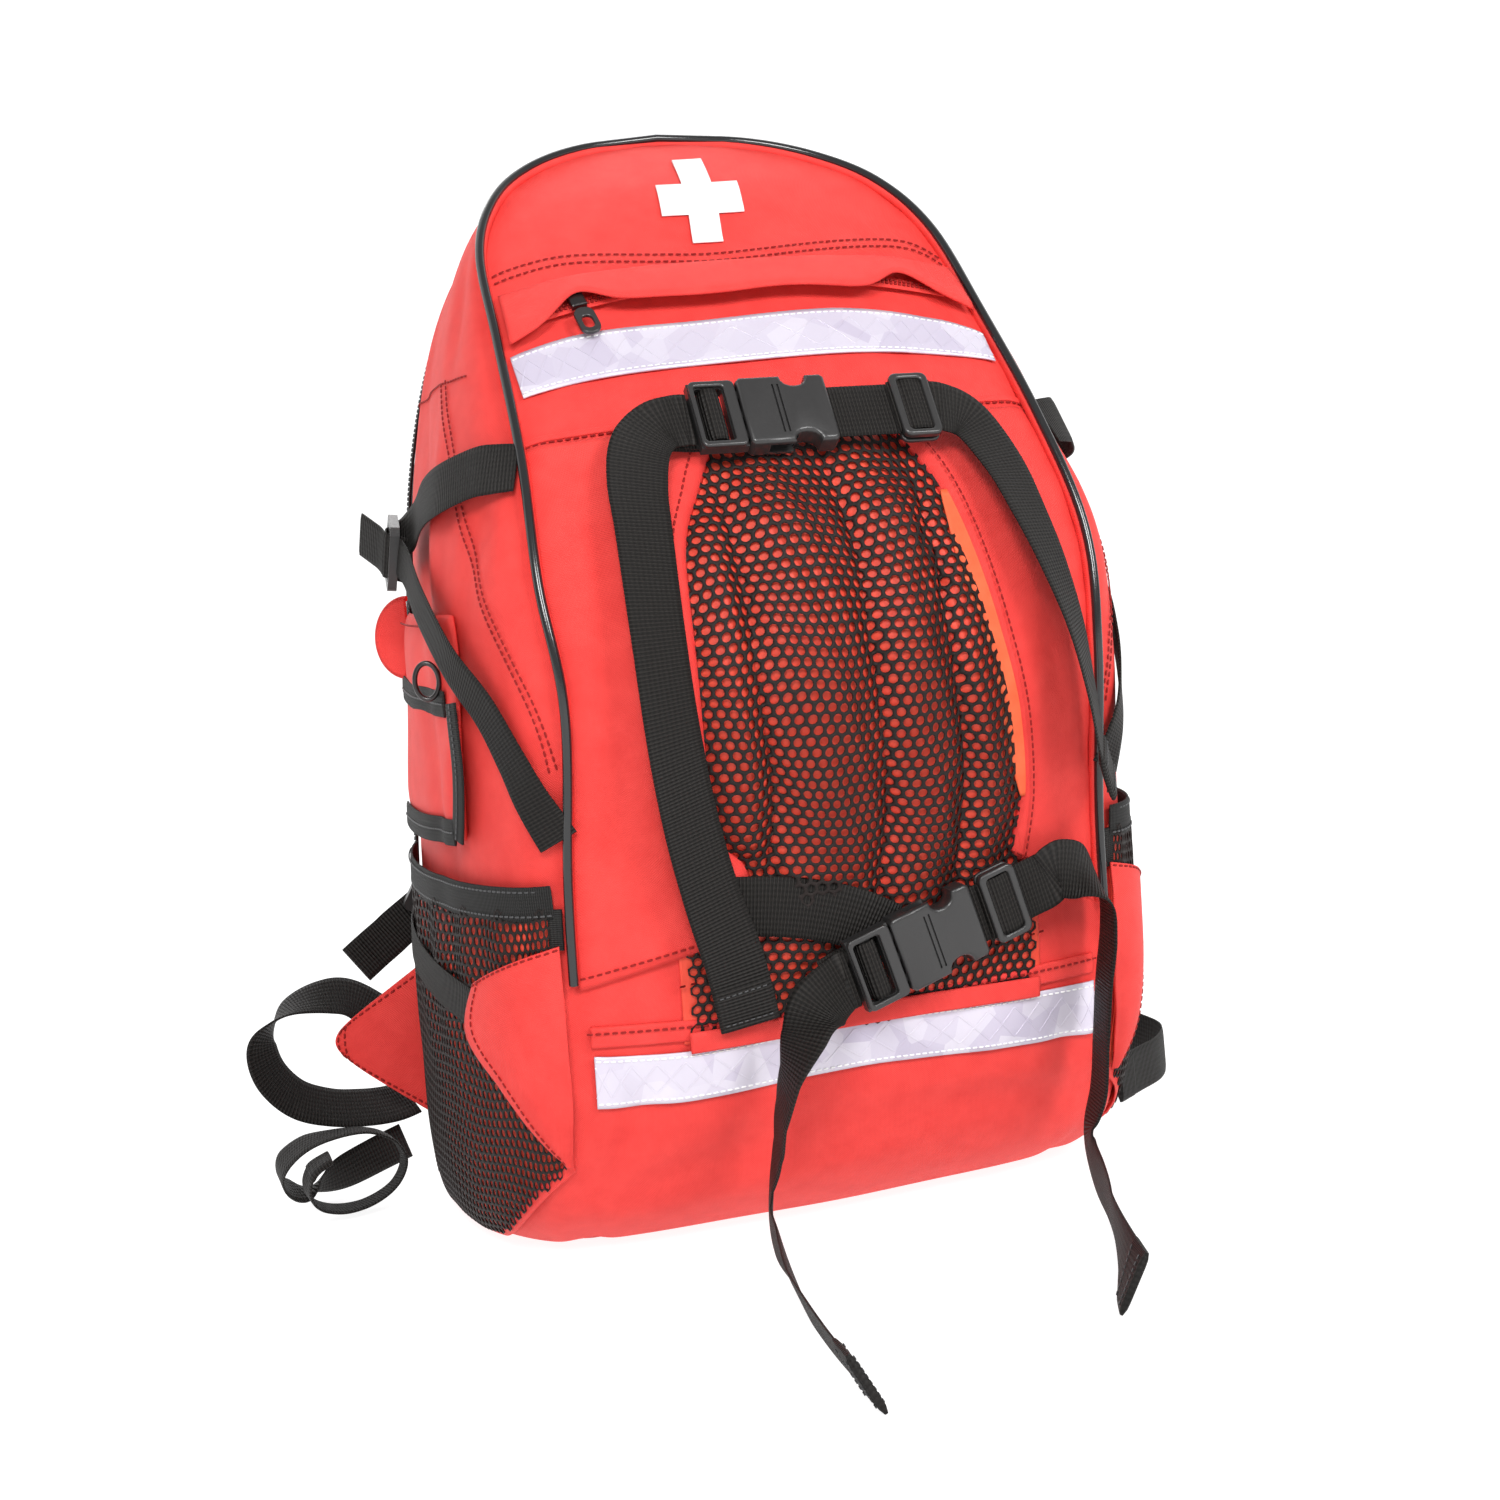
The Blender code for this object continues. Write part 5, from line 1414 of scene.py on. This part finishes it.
def rear_zip():
    """Tape and teeth along the rear seam, and a case on each of the two CAD sliders."""
    levels = np.linspace(1.6, TOP - 0.35, 150)
    points, normals = arch(1.955, levels, REAR_LIFT, (0, 66.5, 467.3), (0, 0.1, 1))
    ribbon("main_zip_cloth", points, normals, 10.0, 1.1, BINDING, stands_for=["main_zip_tape"])
    across = unit(np.cross(normals, unit(np.gradient(points, axis=0))))
    paths = [(points + normals * 0.8 + across * shift, normals) for shift in (-0.9, 0.9)]
    stitches("main_zip_teeth", paths, BLACK_THREAD, pitch=2.3, radius=0.75)
    for name, side in SIDES:
        point, normal = bare_flank(side, 0.955, ZIP_PULL_Z, 0.0)
        matrix = frame_at(point, normal, 2.2 * side) @ Matrix.Translation((0, 0, 4.2))
        recoat("main_zip_slider_" + name, METAL, 0.4)
        plate("main_zip_case_" + name, rounded(8, 10, 2.4), [], 2.6, matrix, METAL, "main_zip_" + name,
              bevel=0.9)


def cover_grid(inset, y, puff):
    """Grid over the back panel, inset from the rear seam and slightly puffed."""
    t = np.linspace(0.9, TOP - 0.02, 130)[:, None]
    u = np.linspace(-1, 1, 90)[None, :]
    rows = through(STATIONS, t[:, 0])
    wide = np.maximum(rows[:, 4] - inset, 0.2)[:, None]
    z = (rows[:, 3:4] - inset * (t / TOP) ** 3) + 0 * u
    z[0] = 4.0
    fall = np.clip((1 - np.abs(u)) / 0.05, 0, 1) ** 0.5 * np.clip((462 - z) / 14, 0, 1) ** 0.5
    depth = y + puff * fall + 0.25 * np.sin(u * 14) * np.sin(z / 17) * fall
    return np.stack([wide * u, depth, z], -1)


def pillow(name, outline_half, low_z, high_z, deep, channels, stands_for, columns=90, rows=120):
    """A padded block on the back panel: crowned, with sewn channels, rounded corners."""
    z = np.linspace(low_z, high_z, rows)[:, None]
    u = np.linspace(-1, 1, columns)[None, :]
    radius = min(36, (high_z - low_z) * 0.35)
    from_end = np.minimum(z - low_z, high_z - z)
    corner = radius - np.sqrt(np.maximum(radius ** 2 - (radius - from_end) ** 2, 0))
    cut = np.where(from_end < radius, corner, 0)
    x = (outline_half - cut) * u
    rim = np.minimum(np.clip((1 - np.abs(u)) / 0.09, 0, 1), np.clip(from_end / 9, 0, 1))
    height = deep * (0.25 + 0.75 * np.sqrt(np.clip(1 - (1 - rim) ** 2, 0, 1)))
    for kind, place in channels:
        distance = np.abs(x - place) if kind == "x" else np.abs(z - place) + 0 * x
        height = height * (1 - 0.45 * np.exp(-(distance / 3.2) ** 2))
    points = np.stack([x, PAD_Y + height, z + 0 * x], -1)
    thing = cloth(name, points[:, ::-1], FOAM, 1.2, "back_panel", stands_for, offset=-1.0)


def back_panel():
    """Cover and its binding, which is sunk under the handle's feet, and the two pads."""
    recoat("frame_sheet", BOARD)
    cover = cover_grid(3.0, 75.9, 0.5)[:, ::-1]
    cloth("back_panel_cloth", cover, RED, 2.4, "back_panel", ["back_panel_cover"], offset=-1.0)
    edge = cover_grid(3.0, 75.4, 0.0)
    loop = np.concatenate([edge[:, 0], edge[::-1, -1]])
    under_handle = np.exp(-((np.abs(loop[:, 0]) - 34) / 17) ** 4) * (loop[:, 2] > 400)
    loop[:, 1] -= 2.0 * under_handle
    outward = unit(np.stack([loop[:, 0], np.full(len(loop), 60.0), loop[:, 2] * 0.1], -1))
    ribbon("back_panel_binding", loop, outward, 6.0, 2.0, BINDING, "back_panel")
    channels = [("x", -34), ("x", 34), ("z", 145), ("z", 225), ("z", 305)]
    pillow("back_pad_foam", 95, 65, 385, 10.3, channels, ["back_pad"])
    pillow("harness_yoke_pad", 60, 401, 435, 8.2, [("z", 418)], ["harness_yoke"], 70, 40)


# Middle lines of the harness on its right side: x, y, z and the normal.
STRAP = [
    (42, 92, 424, 0.05, 1.0, 0.10), (50, 100, 410, 0.10, 0.9, 0.45), (62, 110, 388, 0.15, 0.9, 0.35),
    (76, 116, 352, 0.15, 1.0, 0.12), (86, 117, 310, 0.12, 1.0, -0.05), (92, 113, 262, 0.10, 1.0, -0.12),
    (97, 105, 214, 0.10, 1.0, -0.16), (103, 98, 174, 0.10, 1.0, -0.10)]
STRAP_WEB = [(128, 90, 118, 0.1, 1, 0), (128, 87, 102, 0.1, 1, 0), (126, 82, 82, 0.1, 1, 0),
             (124, 79.2, 64, 0, 1, 0), (122, 78.9, 46, 0, 1, 0)]
STRAP_END = [(146, 93, 126, 0.1, -1, 0.1), (152, 92, 122, 0.1, -1, 0.1),
             (160, 91, 117, 0.1, -1, 0.1), (169, 90, 111, 0.1, -1, 0.1)]
STRAP_WIDE = 58.0
STRAP_THICK = 11.0
PAD_LOOP = [(101, 99.5, 188, 0.1, 1.0, -0.1), (105, 99, 176, 0.1, 1, 0.1), (112, 97, 161, 0.1, 1, 0.15),
            (119, 95, 149, 0.1, 1, 0.15), (124, 93.5, 141, 0.1, 1, 0.1)]
WEB_ABOVE = [(127.5, 87.6, 132, 0.1, 1, 0)]
END_ABOVE = [(126, 93.8, 139, 0.1, -1, 0.1), (133, 94, 134, 0.1, -1, 0.1)]


def mirrored(rows, side):
    """Rows as they are on the right, or mirrored to the left."""
    return [(side * x, y, z, side * nx, ny, nz) for x, y, z, nx, ny, nz in rows]


def padded_strap(name, rows, node):
    """A foam shoulder strap: rounded across, bound along its edges, tapering at its foot."""
    count = 150
    spots = samples(rows, count)
    points, normals = spots[:, :3], unit(spots[:, 3:])
    tangent = unit(np.gradient(points, axis=0))
    across = unit(np.cross(normals, tangent))
    face = np.cross(tangent, across)
    share = np.linspace(0, 1, count)
    half = STRAP_WIDE / 2 * np.minimum(1, 0.72 + 4 * np.minimum(share, 1 - share))
    ring = 36
    angle = np.linspace(0, 2 * math.pi, ring, endpoint=False)
    ring_u = np.sign(np.cos(angle)) * np.abs(np.cos(angle)) ** 0.35
    ring_v = np.sign(np.sin(angle)) * np.abs(np.sin(angle)) ** 0.8
    groove = 1 - 0.25 * np.exp(-((np.abs(ring_u) - 0.80) / 0.07) ** 2)
    ripple = 1 + 0.04 * np.sin(share * 70)[:, None]
    thick = STRAP_THICK / 2 * ring_v * groove * ripple
    grid = (points[:, None] + across[:, None] * (ring_u * half[:, None])[..., None]
            + face[:, None] * thick[..., None])
    length = run_lengths(points)
    uv = np.stack(np.broadcast_arrays(length[:, None], (ring_u * STRAP_WIDE / 2)[None]), -1)
    strap = piece(name, grid, tube_faces(count, ring), FOAM, "back_panel", uv, [node])
    for part, turn in (("inner", -1), ("outer", 1)):
        line = points + across * (turn * half[:, None] * 0.99)
        ribbon(name + "_binding_" + part, line, face, 3.0, 7.0, BINDING, "back_panel")
    crest = points + face * (STRAP_THICK / 2 + 0.7)
    ribbon(name + "_webbing", crest[6:-3], face[6:-3], 24.0, 1.4, WEBBING, "back_panel")


def harness():
    """Padded straps, and the webbing that runs from each to its lock, the panel and a free end."""
    for name, side in SIDES:
        free_ribbon("shoulder_pad_loop_" + name, mirrored(PAD_LOOP, side), 60, 20.0, "back_panel")
        padded_strap("shoulder_pad_" + name, mirrored(STRAP, side), "shoulder_strap_" + name)
        free_ribbon("shoulder_lower_strap_" + name, mirrored(WEB_ABOVE + STRAP_WEB, side), 70, 20.0,
                    "back_panel", ["shoulder_webbing_" + name])
        recoat("shoulder_lock_" + name, PLASTIC, 0.8)
        free_ribbon("shoulder_strap_end_" + name, mirrored(END_ABOVE + STRAP_END, side), 60, 20.0,
                    "back_panel", ["shoulder_tail_" + name], 9.0)


HANDLE_Y = REAR_Y + 8.0
HANDLE_Z = 445.0


def grab_handle():
    """A loop of webbing: its right half, and the same mirrored."""
    half = [(34, HANDLE_Y, HANDLE_Z, 0, 1, 0.1), (34, 81, 452, 0, 1, -0.3), (32, 87, 462, 0.1, 0.9, -0.3),
            (26, 92, 473, 0.2, 0.8, 0.5), (12, 94, 482, 0.1, 0.4, 1), (0, 94.5, 484, 0, 0.4, 1)]
    rows = mirrored(half, -1) + half[-2::-1]
    free_ribbon("grab_handle_webbing", rows, 120, 22.0, "handle", ["grab_handle"])


HIP_X = 141.5
HIP_TIP_X = 185.5
HIP_Y = 75.0
LOOP_WIDTH_WAY = (-0.69, -0.63, -0.37)


def across_rows(points, way):
    """Rows for webbing rolled into a loop, whose width always lies along one direction."""
    rows = []
    for i, point in enumerate(points):
        along = Vector(points[min(i + 1, len(points) - 1)]) - Vector(points[max(i - 1, 0)])
        rows.append((*point, *along.cross(Vector(way)).normalized()))
    return rows


def facing_ring(points, centre_x, centre_z):
    """Rows for webbing coiled about a line along y, its face turned away from that line."""
    return [(x, y, z, *Vector((x - centre_x, 0, z - centre_z)).normalized()) for x, y, z in points]


def hip_belt():
    """A wing on each side, a loop and a coiled tail on the left, folded webbing on the right."""
    for name, side in SIDES:
        v = np.linspace(0, 1, 50)[:, None]
        u = np.linspace(0, 1, 44)[None, :]
        inner_z = 36 + 73 * v
        tip_z = 72 + 12 * v
        x = HIP_X + (HIP_TIP_X - HIP_X) * u - 3.0 * u ** 6 * (2 * v - 1) ** 2
        z = inner_z + (tip_z - inner_z) * u
        y = HIP_Y - 1.5 - 1.2 * np.sin(np.pi * u) * np.sin(np.pi * v) + 0 * z
        grid = np.stack([side * x + 0 * z, y, z], -1)
        body_name = "hip_" + name
        cloth("hip_wing_cloth_" + name, grid[:, ::side], RED, 2.4, body_name, ["hip_wing_" + name],
              offset=-1.0)
        paths = []
        for line in (np.s_[:, -2], np.s_[:, -5], np.s_[2], np.s_[47]):
            normals = np.repeat([(0.0, -1.0, 0.0)], len(grid[line]), 0)
            paths.append((grid[line] + normals * 0.4, normals))
        stitches("hip_wing_stitching_" + name, paths, RED_THREAD, body_name)
    loop = [(-158, 90, 86), (-172, 87, 95), (-186, 84.5, 99), (-203, 83, 97), (-214, 82, 89), (-219, 82, 80),
            (-216, 82, 66), (-205, 83, 53), (-189, 84, 46), (-173, 86, 43), (-160, 89, 42), (-150, 92, 43)]
    sewn = [(-155, 78.6, 64, 0, -1, 0), (-155, 81, 72, 0.1, -1, 0.15), (-156, 86, 80, 0.3, -0.85, 0.35)]
    free_ribbon("hip_strap_left", sewn + across_rows(loop, LOOP_WIDTH_WAY)[1:], 150, 22.0, "hip_left",
                ["hip_webbing_left"])
    lead = [(-154, 94, 22, 0, -1, -0.1), (-167, 94, 18, 0, -1, -0.1), (-183, 93, 13, -0.12, -0.95, -0.25),
            (-198, 90, 9.5, -0.42, -0.6, -0.65)]
    coil = [(-210, 85, 9), (-217, 80, 15), (-217, 74, 25), (-207, 68, 34), (-192, 64, 37.5), (-177, 62, 37),
            (-166, 61, 31), (-162, 60, 21), (-168, 58, 11), (-181, 56, 5), (-195, 54, 4.5), (-206, 52, 9),
            (-210, 50, 17), (-207, 48, 26), (-198, 47, 31)]
    free_ribbon("hip_strap_end_left", lead + facing_ring(coil, -189, 21), 220, 18.0, "hip_left",
                ["hip_tail_left"], 12.0)
    rear = [(160, 94, 56), (186, 96, 40), (212, 88, 27), (229, 68, 18), (232, 44, 15), (218, 20, 14.5),
            (196, 2, 14.5), (178, -12, 14.5)]
    free_ribbon("hip_strap_right", across_rows(rear, (0, 0, -1)), 120, 22.0, "hip_right",
                ["hip_webbing_right"], 16.0)


def inner_divider():
    """The padded shelf inside, which sags a little."""
    u = np.linspace(-1, 1, 50)[None, :]
    s = (0.22 + 0.70 * np.linspace(0, 1, 40))[:, None]
    points = bare_skin(1 + s, station(205.0, 1 + s))
    x = (points[..., 0] - 8.0) * u
    y = points[..., 1] + 0 * u
    z = 206.0 + 1.2 * np.sin(x / 18) * np.sin(y / 15)
    cloth("divider_pad", np.stack([x, y, z], -1), RED, 3.0, stands_for=["inner_divider"])


# ---------------------------------------------------------------- put together

stage()
tails()
body()
piping()
cross()
reflective_bands()
front_zip()
window()
wings()
for buckle in BUCKLES:
    female(buckle)
    male(buckle)
    slider(buckle)
body_seams()
side_webbing()
side_pockets()
side_pouch()
rear_zip()
back_panel()
harness()
grab_handle()
hip_belt()
inner_divider()
